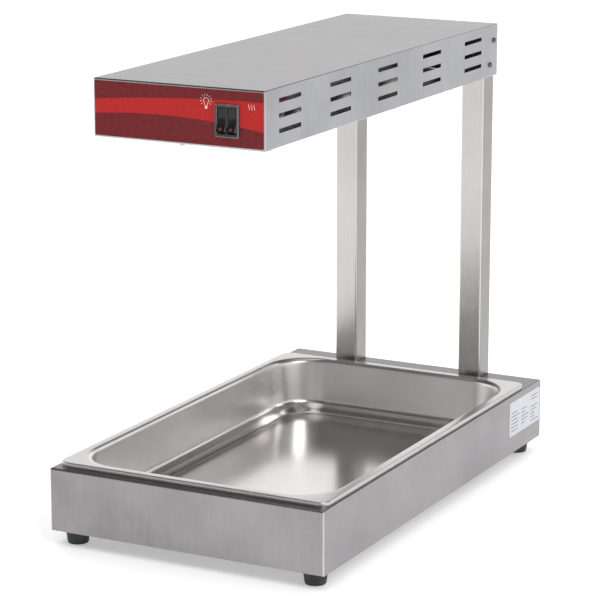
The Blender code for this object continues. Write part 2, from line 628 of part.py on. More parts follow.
def make_wire_guard():
    """Guard across the mouth: a wire loop with cross wires, held between the plate and the reflector."""
    z = LOWER_PLATE_Z + SHEET + GAP + GUARD_WIRE
    half_x, half_y = MOUTH_HALF_X + 0.0025, MOUTH_HALF_Y + 0.0025
    loop = [(x, y, 0) for x, y in ring(half_x, half_y, 0.010, 3)]
    mesh = wire_mesh("wire_guard", loop, GUARD_WIRE, cyclic=True)
    guard = link("wire_guard", mesh, (0, REFLECTOR_Y, z), ZINC)
    bm = bmesh.new()
    count, spacing, radius = 9, 0.046, GUARD_WIRE * 0.9
    for i in range(count):
        y = REFLECTOR_Y + (i - (count - 1) / 2) * spacing
        matrix = Matrix.Translation((0, y, z)) @ Matrix.Rotation(pi / 2, 4, "Y")
        bmesh.ops.create_cone(bm, cap_ends=True, segments=8, radius1=radius, radius2=radius,
                              depth=2 * half_x, matrix=matrix)
    wires = link("guard_cross_wires", mesh_from("guard_cross_wires", bm), (0, 0, 0))
    combine(guard, wires, "UNION")


# ---------------------------------------------------------------- switch and wiring in the head
def rocker_places():
    """Name and X of each rocker."""
    return (("light", SWITCH_X - ROCKER_SPACING / 2), ("heat", SWITCH_X + ROCKER_SPACING / 2))


def make_switch_housing():
    """Bezel and body of the double switch, with a pocket for each rocker."""
    half_w, half_h = SWITCH_WIDTH / 2, SWITCH_HEIGHT / 2
    low = (SWITCH_X - half_w, BEZEL_FRONT, SWITCH_Z - half_h)
    high = (SWITCH_X + half_w, BEZEL_BACK, SWITCH_Z + half_h)
    housing = box("switch_housing", low, high, GREY, 0.0008, 2)
    body_low = (SWITCH_X - 0.0122, BEZEL_FRONT + 0.001, SWITCH_Z - 0.0152)
    body_high = (SWITCH_X + 0.0122, HEAD_FRONT + 0.0250, SWITCH_Z + 0.0152)
    combine(housing, box("switch_body", body_low, body_high), "UNION")
    pocket = (ROCKER_WIDTH + 2 * GAP, 0.0320, 2 * ROCKER_HALF_HEIGHT + 0.0024)
    pockets = [(pocket, (x, BEZEL_FRONT, SWITCH_Z)) for _, x in rocker_places()]
    combine(housing, box_cutter("rocker_pockets", pockets))


def tilted(y, z):
    """A point in (Y, Z) about a rocker's axis, turned to the rest pose with the upper end pressed in."""
    return (y * cos(ROCKER_TILT) + z * sin(ROCKER_TILT), z * cos(ROCKER_TILT) - y * sin(ROCKER_TILT))


def rocker_outline():
    """Side of a rocker in (Y, Z) about its axis: a dished front and a narrower back."""
    front, shoulder, dip, back = -0.0062, -0.0052, -0.0048, 0.0060
    level = [(front, ROCKER_HALF_HEIGHT), (shoulder, 0.006), (dip, 0), (shoulder, -0.006),
             (front, -ROCKER_HALF_HEIGHT), (0.0, -0.0115), (back, -0.005), (back, 0.005), (0.0, 0.0115)]
    return [tilted(y, z) for y, z in level]


def make_rockers():
    """Two rockers that tilt on a common axis line, each with a round red lens near its lower end."""
    slope = ROCKER_TILT + radians(9.0)
    normal = Vector((0, -cos(slope), sin(slope)))
    facing = normal.to_track_quat("Z", "Y").to_euler()
    lens = [(0, 0.0005), (0.0012, 0.0004), (0.0018, 0.0), (0.0019, -0.0009), (0, -0.0009)]
    for name, x in rocker_places():
        axis = Vector((x, ROCKER_AXIS_Y, SWITCH_Z))
        rocker = flat(f"rocker_{name}", [rocker_outline()], ROCKER_WIDTH, axis, BLACK, (pi / 2, 0, pi / 2))
        face = axis + Vector((0, *tilted(-0.0056, -0.0085)))
        pocket = drill(f"lens_pocket_{name}", [((0, 0, 0), 0.0022, 0.0024)], "Z", 12)
        pocket.location = face
        pocket.rotation_euler = facing
        combine(rocker, pocket)
        made = turned(f"lens_{name}", lens, face, RED, facing, steps=12)
        made.parent = rocker
        made.matrix_parent_inverse = rocker.matrix_basis.inverted()


def make_head_wiring():
    """Ceramic terminal block and the two insulated wires that pass the front vents."""
    floor = LOWER_PLATE_Z + SHEET + GAP
    low, high = (-0.040, HEAD_FRONT + 0.012, floor), (-0.004, HEAD_FRONT + 0.030, floor + 0.016)
    block = box("head_terminal_block", low, high, CERAMIC, 0.001, 1)
    rows = (HEAD_FRONT + 0.016, HEAD_FRONT + 0.026)
    holes = [((x, y, high[2]), 0.0019, 0.014) for x in (-0.033, -0.022, -0.011) for y in rows]
    combine(block, drill("head_block_holes", holes, "Z", 8))
    back = HEAD_FRONT + 0.0270
    red = [(SWITCH_X + 0.004, back, SWITCH_Z + 0.008), (SWITCH_X + 0.012, back + 0.006, SWITCH_Z + 0.016),
           (0.0880, back + 0.014, SLOT_Z + 0.0165), (0.0920, back + 0.026, SLOT_Z + 0.0150),
           (0.0780, back + 0.036, SLOT_Z + 0.0210), (0.0560, back + 0.040, SLOT_Z + 0.0225),
           (0.0400, back + 0.034, REFLECTOR_TOP + 0.0045)]
    white = [(SWITCH_X - 0.004, back, SWITCH_Z - 0.004), (SWITCH_X + 0.010, back + 0.010, SWITCH_Z - 0.008),
             (0.0840, back + 0.030, SLOT_Z - 0.008), (0.0900, back + 0.0345, SLOT_Z + 0.002),
             (0.0840, back + 0.042, SLOT_Z + 0.012), (0.0640, back + 0.052, SLOT_Z + 0.0190)]
    for name, route, spec in (("wire_red", red, RED_WIRE), ("wire_white", white, WHITE_WIRE)):
        link(name, wire_mesh(name, smooth_route(route, 0.0045), 0.0013), (0, 0, 0), spec)


# ---------------------------------------------------------------- assembly
def main():
    """Build the whole warmer."""
    clear_scene()
    make_base_bottom()
    make_base_cover()
    make_feet()
    make_cord_gland()
    make_rating_plate()
    make_base_terminal_block()
    make_supply_lead()
    make_pan()
    make_posts()
    make_post_screws()
    make_head_cover()
    make_head_rear_panel()
    make_head_lower_plate()
    make_plate_screws()
    make_front_decal()
    make_reflector()
    make_heater()
    make_lamps()
    make_wire_guard()
    make_switch_housing()
    make_rockers()
    make_head_wiring()
    bpy.context.view_layer.update()


main()
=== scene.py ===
"""Looks of the heat lamp warmer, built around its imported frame.

Each sub-assembly is a class that holds its sizes in metres and builds and dresses its pieces; each
finish is a frozen class that makes one procedural material. +Z is up and the front faces -Y.
"""
from __future__ import annotations

import json
import logging
from collections.abc import Iterable, Sequence
from dataclasses import dataclass
from enum import Enum
from math import cos, pi, radians, sin

import bmesh
import bpy
from mathutils import Matrix, Vector


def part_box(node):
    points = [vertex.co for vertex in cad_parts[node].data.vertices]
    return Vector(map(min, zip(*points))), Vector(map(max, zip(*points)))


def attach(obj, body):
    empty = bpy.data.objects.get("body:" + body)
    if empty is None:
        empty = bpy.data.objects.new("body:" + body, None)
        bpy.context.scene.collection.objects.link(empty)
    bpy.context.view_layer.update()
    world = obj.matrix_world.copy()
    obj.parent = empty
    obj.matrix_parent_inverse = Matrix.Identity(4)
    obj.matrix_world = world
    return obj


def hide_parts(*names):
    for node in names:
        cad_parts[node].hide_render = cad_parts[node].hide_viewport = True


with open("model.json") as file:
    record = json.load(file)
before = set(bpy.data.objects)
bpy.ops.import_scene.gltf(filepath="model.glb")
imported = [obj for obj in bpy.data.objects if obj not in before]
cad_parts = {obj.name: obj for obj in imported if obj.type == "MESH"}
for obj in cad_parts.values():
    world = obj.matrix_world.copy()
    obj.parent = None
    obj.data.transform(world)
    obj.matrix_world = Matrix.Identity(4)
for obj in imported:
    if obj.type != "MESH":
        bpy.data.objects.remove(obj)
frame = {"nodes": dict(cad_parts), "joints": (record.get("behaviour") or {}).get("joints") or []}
LOG = logging.getLogger("warmer")
WARMER = "warmer"
SIDES = ("left", "right")
ENDS = ("front", "rear")
RIGHTWARD = Matrix.Rotation(pi / 2, 4, "Z") @ Matrix.Rotation(pi / 2, 4, "X")
Point = tuple[float, float, float]
Plan = Sequence[tuple[float, float]]


# ------------------------------------------------------------------------------------ node graphs
class Sock:
    """One output of a node, with arithmetic that adds Math nodes."""

    def __init__(self, graph: Graph, socket: bpy.types.NodeSocket) -> None:
        """Wrap an output socket of a graph."""
        self.graph = graph
        self.socket = socket

    def _math(self, operation: str, first: Sock | float, second: Sock | float) -> Sock:
        """Add one Math node, by Blender's name of its operation."""
        return self.graph.node("ShaderNodeMath", {"operation": operation}, {0: first, 1: second})

    def __add__(self, other: Sock | float) -> Sock:
        """Sum of two values."""
        return self._math("ADD", self, other)

    __radd__ = __add__

    def __sub__(self, other: Sock | float) -> Sock:
        """This value less another."""
        return self._math("SUBTRACT", self, other)

    def __rsub__(self, other: Sock | float) -> Sock:
        """Another value less this one."""
        return self._math("SUBTRACT", other, self)

    def __mul__(self, other: Sock | float) -> Sock:
        """Product of two values."""
        return self._math("MULTIPLY", self, other)

    __rmul__ = __mul__

    def __truediv__(self, other: Sock | float) -> Sock:
        """This value divided by another."""
        return self._math("DIVIDE", self, other)

    def __gt__(self, other: Sock | float) -> Sock:
        """One where this value is larger, else zero."""
        return self._math("GREATER_THAN", self, other)

    def ramp(self, low: float, high: float) -> Sock:
        """Smooth step from 0 at the low value to 1 at the high one."""
        settings = {"interpolation_type": "SMOOTHSTEP"}
        return self.graph.node("ShaderNodeMapRange", settings, {0: self, 1: low, 2: high, 3: 0.0, 4: 1.0})


class Graph:
    """A node tree that is filled by one method, whatever its kind."""

    def __init__(self, tree: bpy.types.NodeTree) -> None:
        """Take a tree and empty it."""
        self.tree = tree
        tree.nodes.clear()

    def node(self, kind: str, settings: dict | None = None, inputs: dict | None = None,
             output: int | str = 0) -> Sock:
        """Add a node, set it and feed its inputs.

        Args:
            kind: Blender's type name of the node.
            settings: Values of the node's own properties.
            inputs: Sockets or plain values by input name or index.
            output: The output that is handed back.

        Returns:
            The chosen output.
        """
        made = self.tree.nodes.new(kind)
        for key, value in (settings or {}).items():
            setattr(made, key, value)
        for key, value in (inputs or {}).items():
            if isinstance(value, Sock):
                self.tree.links.new(value.socket, made.inputs[key])
            else:
                made.inputs[key].default_value = value
        return Sock(self, made.outputs[output])

    def split(self, vector: Sock, axis: str) -> Sock:
        """One part of a vector, by the letter of its axis."""
        return self.node("ShaderNodeSeparateXYZ", {}, {"Vector": vector}, axis)

    def join(self, x: Sock | float = 0.0, y: Sock | float = 0.0, z: Sock | float = 0.0) -> Sock:
        """A vector from its three parts."""
        return self.node("ShaderNodeCombineXYZ", {}, {"X": x, "Y": y, "Z": z})


class Shader(Graph):
    """A material's node tree that ends in one Principled shader."""

    def __init__(self, name: str) -> None:
        """Make the material.

        Args:
            name: The material's name.
        """
        self.material = bpy.data.materials.new(name)
        self.material.use_nodes = True
        super().__init__(self.material.node_tree)

    def where(self, scale: Point = (1.0, 1.0, 1.0), move: Point = (0.0, 0.0, 0.0)) -> Sock:
        """Object coordinates, scaled along each axis and then moved."""
        spot = self.node("ShaderNodeTexCoord", output="Object")
        return self.node("ShaderNodeMapping", {}, {"Vector": spot, "Scale": scale, "Location": move})

    def along(self, axis: str) -> Sock:
        """One part of the plain object coordinates, by the letter of its axis."""
        return self.split(self.node("ShaderNodeTexCoord", output="Object"), axis)

    def noise(self, scale: float | Point, detail: float = 3.0, rough: float = 0.55,
              move: Point = (0.0, 0.0, 0.0)) -> Sock:
        """Noise between 0 and 1.

        Args:
            scale: Repeats per metre, one number or one for each axis.
            detail: Octaves.
            rough: Weight of the higher octaves.
            move: Offset that keeps two patterns apart.

        Returns:
            The noise value.
        """
        alike = isinstance(scale, float)
        spot = self.where(move=move) if alike else self.where(scale, move)
        return self.node("ShaderNodeTexNoise", {}, {"Vector": spot, "Scale": scale if alike else 1.0,
                                                    "Detail": detail, "Roughness": rough})

    def blend(self, factor: Sock | float, first: Sock | Point, second: Sock | Point) -> Sock:
        """Mix two colours; a factor of 0 gives the first and 1 the second."""
        colours = [c if isinstance(c, Sock) else (*c, 1.0) for c in (first, second)]
        return self.node("ShaderNodeMix", {"data_type": "RGBA"}, {0: factor, 6: colours[0], 7: colours[1]}, 2)

    def bump(self, height: Sock, strength: float, distance: float) -> Sock:
        """Normal bent by a height between 0 and 1, whose full depth is a distance in metres."""
        return self.node("ShaderNodeBump", {}, {"Height": height, "Strength": strength, "Distance": distance})

    def finish(self, **inputs: Sock | float | tuple) -> bpy.types.Material:
        """End the tree in a Principled shader.

        Args:
            **inputs: Its inputs, with underscores for the spaces in their names.

        Returns:
            The finished material.
        """
        values = {key.replace("_", " "): value for key, value in inputs.items()}
        surface = self.node("ShaderNodeBsdfPrincipled", {}, values)
        out = self.tree.nodes.new("ShaderNodeOutputMaterial")
        self.tree.links.new(surface.socket, out.inputs["Surface"])
        return self.material


class Shape(Graph):
    """A Geometry Nodes tree with named inputs, whose result is made a plain mesh."""

    kinds = {int: "NodeSocketInt", float: "NodeSocketFloat", Vector: "NodeSocketVector",
             bpy.types.Object: "NodeSocketObject", bpy.types.Material: "NodeSocketMaterial"}

    def __init__(self, name: str, **inputs: type) -> None:
        """Make the tree and its inputs.

        Args:
            name: The tree's name.
            **inputs: Type of each input by its name.
        """
        super().__init__(bpy.data.node_groups.new(name, "GeometryNodeTree"))
        face = self.tree.interface
        for way in ("OUTPUT", "INPUT"):
            face.new_socket("Geometry", in_out=way, socket_type="NodeSocketGeometry")
        for key, kind in inputs.items():
            face.new_socket(key, in_out="INPUT", socket_type=self.kinds[kind])
        self.source = self.tree.nodes.new("NodeGroupInput")

    def given(self, name: str) -> Sock:
        """The group input of that name."""
        return Sock(self, self.source.outputs[name])

    def random(self, low: Sock | float, high: Sock | float) -> Sock:
        """A random number for each instance, from the tree's Seed."""
        limits = {2: low, 3: high, "Seed": self.given("Seed")}
        return self.node("FunctionNodeRandomValue", {"data_type": "FLOAT"}, limits, 1)

    def box(self, size: Sock) -> Sock:
        """A box of that size about the origin."""
        return self.node("GeometryNodeMeshCube", {}, {"Size": size})

    def moved(self, geometry: Sock, spot: Sock | Point, turn: Sock | Point = (0.0, 0.0, 0.0)) -> Sock:
        """Geometry that is turned and then moved."""
        inputs = {"Geometry": geometry, "Translation": spot, "Rotation": turn}
        return self.node("GeometryNodeTransform", {}, inputs)

    def on_points(self, points: Sock, part: Sock, **inputs: Sock) -> Sock:
        """Instances of a part on points."""
        return self.node("GeometryNodeInstanceOnPoints", {}, {"Points": points, "Instance": part, **inputs})

    def wire(self, curve: Sock, radius: Sock, sides: int) -> Sock:
        """Round wire along a curve."""
        section = self.node("GeometryNodeCurvePrimitiveCircle", {}, {"Resolution": sides, "Radius": radius})
        return self.node("GeometryNodeCurveToMesh", {}, {"Curve": curve, "Profile Curve": section,
                                                         "Fill Caps": True})

    def wire_loop(self, width: Sock, height: Sock, steps: int, radius: Sock, sides: int) -> Sock:
        """Round wire along a rectangle whose corners are rounded by the tree's Corner.

        Args:
            width: Its size along X.
            height: Its size along Y.
            steps: Steps in each corner.
            radius: Radius of the wire.
            sides: Faces round the wire.

        Returns:
            The wire.
        """
        loop = self.node("GeometryNodeCurvePrimitiveQuadrilateral", {}, {"Width": width, "Height": height})
        loop = self.node("GeometryNodeFilletCurve", {"mode": "POLY"}, {"Curve": loop, "Count": steps,
                                                                       "Radius": self.given("Corner")})
        return self.wire(loop, radius, sides)

    def end(self, geometry: Sock, material: bpy.types.Material | Sock) -> None:
        """Realize the instances, set the material and close the tree.

        Args:
            geometry: The last geometry.
            material: The finish of all of it.
        """
        real = self.node("GeometryNodeRealizeInstances", {}, {"Geometry": geometry})
        dressed = self.node("GeometryNodeSetMaterial", {}, {"Geometry": real, "Material": material})
        out = self.tree.nodes.new("NodeGroupOutput")
        self.tree.links.new(dressed.socket, out.inputs["Geometry"])

    def make(self, name: str, mesh: bpy.types.Mesh | None = None, **values: object) -> bpy.types.Object:
        """Run the tree on a mesh and keep its result as a plain mesh.

        Args:
            name: Name of the piece.
            mesh: What the tree starts from, or nothing.
            **values: Inputs by name.

        Returns:
            The piece.
        """
        obj = bpy.data.objects.new(name, mesh or bpy.data.meshes.new(name))
        bpy.context.scene.collection.objects.link(obj)
        modifier = obj.modifiers.new("Shape", "NODES")
        modifier.node_group = self.tree
        for item in self.tree.interface.items_tree:
            if item.in_out == "INPUT" and item.name in values:
                modifier[item.identifier] = values[item.name]
        obj.update_tag()
        settle(obj)
        finish = obj.data.materials[-1]
        obj.data.materials.clear()
        obj.data.materials.append(finish)
        obj.data.polygons.foreach_set("material_index", [0] * len(obj.data.polygons))
        soften(obj)
        return obj


# ------------------------------------------------------------------------------------ mesh helpers
def settle(obj: bpy.types.Object) -> None:
    """Replace an object's mesh by its evaluated one and drop its modifiers.

    Args:
        obj: The object.
    """
    bpy.context.view_layer.update()
    evaluated = obj.evaluated_get(bpy.context.evaluated_depsgraph_get())
    mesh = bpy.data.meshes.new_from_object(evaluated)
    obj.modifiers.clear()
    obj.data = mesh


def soften(obj: bpy.types.Object, degrees: float = 32.0) -> None:
    """Shade smooth, with an edge kept sharp where its faces meet at more than the angle."""
    obj.data.shade_smooth()
    obj.data.set_sharp_from_angle(angle=radians(degrees))


def even(obj: bpy.types.Object) -> None:
    """Let the large flat faces set the normals of a bent sheet."""
    modifier = obj.modifiers.new("Even", "WEIGHTED_NORMAL")
    modifier.keep_sharp = True
    modifier.weight = 80


def thicken(obj: bpy.types.Object, sheet: float) -> None:
    """Give an open surface its sheet thickness, inwards.

    Args:
        obj: The surface.
        sheet: Thickness in metres.
    """
    modifier = obj.modifiers.new("Sheet", "SOLIDIFY")
    modifier.thickness = sheet
    modifier.offset = -1.0
    modifier.use_even_offset = True
    settle(obj)


def span(node: str) -> tuple[Vector, Vector]:
    """Middle and half size of a CAD node."""
    low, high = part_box(node)
    return (low + high) / 2, (high - low) / 2


def turned_at(spot: Vector, angle: float = pi / 2) -> Matrix:
    """Place of a shape that is turned about X and then moved."""
    return Matrix.Translation(spot) @ Matrix.Rotation(angle, 4, "X")


def piece(name: str, bm: bmesh.types.BMesh, finishes: Sequence[bpy.types.Material], degrees: float = 32.0,
          turn: bool = True) -> bpy.types.Object:
    """Make a piece from a bmesh.

    Args:
        name: The piece's name.
        bm: Its mesh, which is freed.
        finishes: Its materials, one for each index that its faces name.
        degrees: Angle past which an edge stays sharp.
        turn: Whether the faces are made to look outwards.

    Returns:
        The new object at the origin.
    """
    if turn:
        bmesh.ops.recalc_face_normals(bm, faces=bm.faces)
    mesh = bpy.data.meshes.new(name)
    bm.to_mesh(mesh)
    bm.free()
    for finish in finishes:
        mesh.materials.append(finish)
    obj = bpy.data.objects.new(name, mesh)
    bpy.context.scene.collection.objects.link(obj)
    soften(obj, degrees)
    return obj


def ring(half_x: float, half_y: float, radius: float, steps: int = 8) -> list[tuple[float, float]]:
    """Points round a rounded rectangle, anticlockwise.

    Args:
        half_x: Half its width.
        half_y: Half its depth.
        radius: Corner radius.
        steps: Steps in each corner.

    Returns:
        The points, the same number for every size.
    """
    points = []
    for quarter in range(4):
        middle_x = (half_x - radius) * (1 if quarter in (0, 3) else -1)
        middle_y = (half_y - radius) * (1 if quarter in (0, 1) else -1)
        for step in range(steps + 1):
            angle = (quarter + step / steps) * pi / 2
            points.append((middle_x + radius * cos(angle), middle_y + radius * sin(angle)))
    return points


def loft(bm: bmesh.types.BMesh, loops: Sequence[Sequence[Vector]], caps: bool = True,
         closed: bool = False) -> list[list[bmesh.types.BMVert]]:
    """Join loops of points with faces.

    Args:
        bm: The mesh to add to.
        loops: Loops with the same number of points.
        caps: Whether the first and last loops are filled.
        closed: Whether the last loop is joined to the first.

    Returns:
        The vertices of each loop.
    """
    rows = [[bm.verts.new(p) for p in loop] for loop in loops]
    pairs = list(zip(rows, rows[1:]))
    if closed:
        pairs.append((rows[-1], rows[0]))
    for outer, inner in pairs:
        for i, vert in enumerate(outer):
            after = (i + 1) % len(outer)
            bm.faces.new((vert, outer[after], inner[after], inner[i]))
    if caps and not closed:
        bm.faces.new(rows[0])
        bm.faces.new(rows[-1])
    return rows


def turned(bm: bmesh.types.BMesh, profile: Plan, matrix: Matrix, steps: int = 32) -> None:
    """Add a turned solid.

    Args:
        bm: The mesh to add to.
        profile: (radius, height) points from the top's middle to the bottom's, or a closed ring off the axis.
        matrix: Where its own +Z and origin go.
        steps: Faces round it.
    """
    hollow = profile[0][0] > 0.0
    loops = []
    for radius, height in profile if hollow else profile[1:-1]:
        angles = (i * 2 * pi / steps for i in range(steps))
        loops.append([matrix @ Vector((radius * cos(a), radius * sin(a), height)) for a in angles])
    loft(bm, loops, caps=not hollow, closed=hollow)


def turned_piece(name: str, profile: Plan, matrix: Matrix, steps: int, *finishes: bpy.types.Material,
                 degrees: float = 32.0) -> bpy.types.Object:
    """A piece that is one turned solid; its other values are those of turned and piece."""
    bm = bmesh.new()
    turned(bm, profile, matrix, steps)
    return piece(name, bm, finishes, degrees)


def block(bm: bmesh.types.BMesh, low: Point, high: Point, bevel: float = 0.0) -> None:
    """Add a box between two corners, with rounded edges if a bevel is given.

    Args:
        bm: The mesh to add to.
        low: Lowest corner.
        high: Highest corner.
        bevel: Width of the rounded edges, or zero.
    """
    low, high = Vector(low), Vector(high)
    matrix = Matrix.Translation((low + high) / 2) @ Matrix.Diagonal((*(high - low), 1.0))
    verts = bmesh.ops.create_cube(bm, size=1.0, matrix=matrix)["verts"]
    if bevel:
        edges = list({e for v in verts for e in v.link_edges})
        bmesh.ops.bevel(bm, geom=edges, offset=bevel, segments=2, profile=0.5, affect="EDGES")


def shape_with(obj: bpy.types.Object, bm: bmesh.types.BMesh, operation: str = "DIFFERENCE") -> None:
    """Cut a mesh from a piece, or join it, and keep the result as a plain mesh.

    Args:
        obj: The piece.
        bm: The other mesh, which is freed.
        operation: DIFFERENCE or UNION.
    """
    tool = piece("tool", bm, ())
    modifier = obj.modifiers.new("Cut", "BOOLEAN")
    modifier.operation = operation
    modifier.solver = "EXACT"
    modifier.object = tool
    settle(obj)
    bpy.data.objects.remove(tool, do_unlink=True)


def cut_block(obj: bpy.types.Object, *boxes: tuple[Point, Point], bevel: float = 0.0) -> None:
    """Cut boxes that don't meet, each between two corners, from a piece.

    Args:
        obj: The piece.
        *boxes: Lowest and highest corner of each box.
        bevel: Width of their rounded edges, or zero.
    """
    bm = bmesh.new()
    for low, high in boxes:
        block(bm, low, high, bevel)
    shape_with(obj, bm)


def folded(name: str, low: Point, high: Point, open_side: Point, bend: float, sheet: float,
           finishes: Sequence[bpy.types.Material]) -> bpy.types.Object:
    """A sheet box with rounded folds and one open side.

    Args:
        name: The piece's name.
        low: Lowest corner.
        high: Highest corner.
        open_side: Direction that the open side faces.
        bend: Outer radius of the folds.
        sheet: Sheet thickness.
        finishes: Its materials.

    Returns:
        The piece.
    """
    bm = bmesh.new()
    block(bm, low, high)
    bm.normal_update()
    gone = [f for f in bm.faces if f.normal.dot(Vector(open_side)) > 0.9]
    bmesh.ops.delete(bm, geom=gone, context="FACES")
    folds = [e for e in bm.edges if not e.is_boundary]
    bmesh.ops.bevel(bm, geom=folds, offset=bend, segments=6, profile=0.5, affect="EDGES")
    obj = piece(name, bm, finishes)
    thicken(obj, sheet)
    return obj


def by_facing(obj: bpy.types.Object, direction: Point, index: int) -> None:
    """Give the faces that look along a direction, or against it, another material index."""
    for face in obj.data.polygons:
        if abs(face.normal.dot(Vector(direction))) > 0.8:
            face.material_index = index


def by_bend(obj: bpy.types.Object, index: int) -> None:
    """Give the narrow faces of the folds, which look along no axis, another material index."""
    for face in obj.data.polygons:
        if max(abs(part) for part in face.normal) < 0.985:
            face.material_index = index


def smooth_route(points: Iterable[Point], spacing: float) -> list[Vector]:
    """Points on a smooth curve through the given points.

    Args:
        points: Points that it passes.
        spacing: Rough distance between the results.

    Returns:
        The points in order.
    """
    route = [Vector(p) for p in points]
    padded = [2 * route[0] - route[1], *route, 2 * route[-1] - route[-2]]
    result = [route[0]]
    for a, b, c, d in zip(padded, padded[1:], padded[2:], padded[3:]):
        steps = max(1, round((c - b).length / spacing))
        for step in range(1, steps + 1):
            t = step / steps
            result.append(0.5 * (2 * b + (c - a) * t + (2 * a - 5 * b + 4 * c - d) * t * t
                                 + (3 * b - a - 3 * c + d) * t ** 3))
    return result


def sweep(bm: bmesh.types.BMesh, route: Sequence[Vector], radius: float, sides: int = 12) -> None:
    """Add a round wire along a route.

    Args:
        bm: The mesh to add to.
        route: Its middle line.
        radius: Its radius.
        sides: Faces round it.
    """
    loops = []
    side = Vector((0.0, 0.0, 1.0))
    for i, spot in enumerate(route):
        along = (route[min(i + 1, len(route) - 1)] - route[max(i - 1, 0)]).normalized()
        side = (side - along * side.dot(along)).normalized()
        other = along.cross(side)
        angles = (k * 2 * pi / sides for k in range(sides))
        loops.append([spot + side * (radius * cos(a)) + other * (radius * sin(a)) for a in angles])
    loft(bm, loops)


def film(name: str, outlines: Sequence[Plan], thickness: float, matrix: Matrix,
         finish: bpy.types.Material) -> bpy.types.Object:
    """A flat printed or cut shape.

    Args:
        name: The piece's name.
        outlines: Outlines in XY; one inside another is a hole.
        thickness: Its thickness, from z = 0 upwards.
        matrix: Where it goes.
        finish: Its material.

    Returns:
        The piece.
    """
    curve = bpy.data.curves.new(name, "CURVE")
    curve.dimensions = "2D"
    curve.fill_mode = "BOTH"
    curve.extrude = thickness / 2
    for outline in outlines:
        spline = curve.splines.new("POLY")
        spline.points.add(len(outline) - 1)
        spline.use_cyclic_u = True
        for point, (x, y) in zip(spline.points, outline):
            point.co = (x, y, 0.0, 1.0)
    holder = bpy.data.objects.new(name, curve)
    bpy.context.scene.collection.objects.link(holder)
    bpy.context.view_layer.update()
    mesh = bpy.data.meshes.new_from_object(holder.evaluated_get(bpy.context.evaluated_depsgraph_get()))
    bpy.data.objects.remove(holder, do_unlink=True)
    bm = bmesh.new()
    bm.from_mesh(mesh)
    bmesh.ops.remove_doubles(bm, verts=bm.verts, dist=1e-6)
    bmesh.ops.transform(bm, matrix=matrix @ Matrix.Translation((0, 0, thickness / 2)), verts=bm.verts)
    return piece(name, bm, (finish,), 25.0)


def place(obj: bpy.types.Object, body: str, slot: str, *nodes: str) -> None:
    """Ride a piece on its body and say which CAD nodes it stands for.

    Args:
        obj: The piece.
        body: The body that it moves with.
        slot: Name of its finish in the record; not used.
        *nodes: CAD nodes that it replaces.
    """
    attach(obj, body)
    if nodes:
        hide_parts(*nodes)
    LOG.info("%s rides on %s and stands for %s", obj.name, body, ", ".join(nodes) or "no node")


# ------------------------------------------------------------------------------------ finishes
class Across(Enum):
    """Which way the grain's lines follow each other, as repeats per metre along X, Y and Z."""

    X = (1.0, 0.004, 0.004)
    Y = (0.004, 1.0, 0.004)
    Z = (0.004, 0.004, 1.0)
    XY = (1.0, 1.0, 0.004)


def times(values: Point, factor: float) -> Point:
    """Each part of a colour or a scale times a factor."""
    return tuple(factor * value for value in values)


@dataclass(frozen=True)
class BrushedSteel:
    """Stainless sheet with a straight brushed grain, faint marks and wiped areas."""

    name: str
    across: Across
    light: Point = (0.385, 0.370, 0.377)
    dark: Point = (0.250, 0.239, 0.245)
    rough: float = 0.31
    streak: float = 0.06
    depth: float = 0.00001

    def material(self) -> bpy.types.Material:
        """Make the material."""
        tree = Shader(self.name)
        step = self.across.value
        fine = tree.noise(times(step, 3400.0), 2.0, 0.6)
        band = tree.noise(times(step, 700.0), 2.0, 0.5, (3.1, 1.7, 5.3))
        wiped = tree.noise((9.0, 9.0, 9.0), 4.0, 0.6)
        grain = fine * (0.45 - self.streak) + band * self.streak + wiped * 0.55
        nicks = tree.noise(tuple(900.0 * s + 9.0 for s in step), 1.0, move=(8.0, 2.0, 1.0)) > 0.735
        rough = (fine - 0.5) * 0.16 + (wiped - 0.5) * 0.12 + nicks * 0.08 + self.rough
        return tree.finish(Base_Color=tree.blend(grain.ramp(0.30, 0.70), self.dark, self.light), Metallic=1.0,
                           Roughness=rough,
                           Normal=tree.bump(fine * 0.7 + band * 0.3 - nicks * 0.4, 0.35, self.depth))


@dataclass(frozen=True)
class DrawnSteel:
    """Drawn pan steel: a satin mirror whose fine lines show on its floor and fade up its walls."""

    name: str
    light: Point = (0.89, 0.87, 0.86)
    dark: Point = (0.77, 0.75, 0.74)
    rough: float = 0.175
    floor_top: float = 0.030

    def material(self) -> bpy.types.Material:
        """Make the material."""
        tree = Shader(self.name)
        fine = tree.noise((2600.0, 11.0, 900.0), 2.0, 0.6)
        cloud = tree.noise((12.0, 8.0, 12.0), 4.0, 0.6)
        wall = tree.along("Z").ramp(self.floor_top, self.floor_top + 0.014)
        grain = (fine - 0.5) * (1.0 - wall * 0.8)
        rough = grain * 0.08 + (cloud - 0.5) * 0.08 + wall * 0.11 + self.rough
        colour = tree.blend((grain * 0.4 + cloud * 0.6 + 0.2).ramp(0.32, 0.68), self.dark, self.light)
        return tree.finish(Base_Color=colour, Metallic=1.0, Roughness=rough,
                           Normal=tree.bump(grain, 0.2, 0.000004))


@dataclass(frozen=True)
class PlainMetal:
    """Small metal piece: mottled plate, worn lighter in spots, with a fine grain."""

    name: str
    light: Point
    dark: Point
    rough: float
    scale: float = 420.0

    def material(self) -> bpy.types.Material:
        """Make the material."""
        tree = Shader(self.name)
        fine = tree.noise(self.scale * 3.0, 2.0)
        cloud = tree.noise(self.scale * 0.25, 4.0, 0.65, (0.3, 0.7, 0.1))
        return tree.finish(Base_Color=tree.blend(cloud.ramp(0.35, 0.65), self.dark, self.light), Metallic=1.0,
                           Roughness=(cloud - 0.5) * 0.22 + (fine - 0.5) * 0.10 + self.rough,
                           Normal=tree.bump(fine, 0.2, 0.00003))


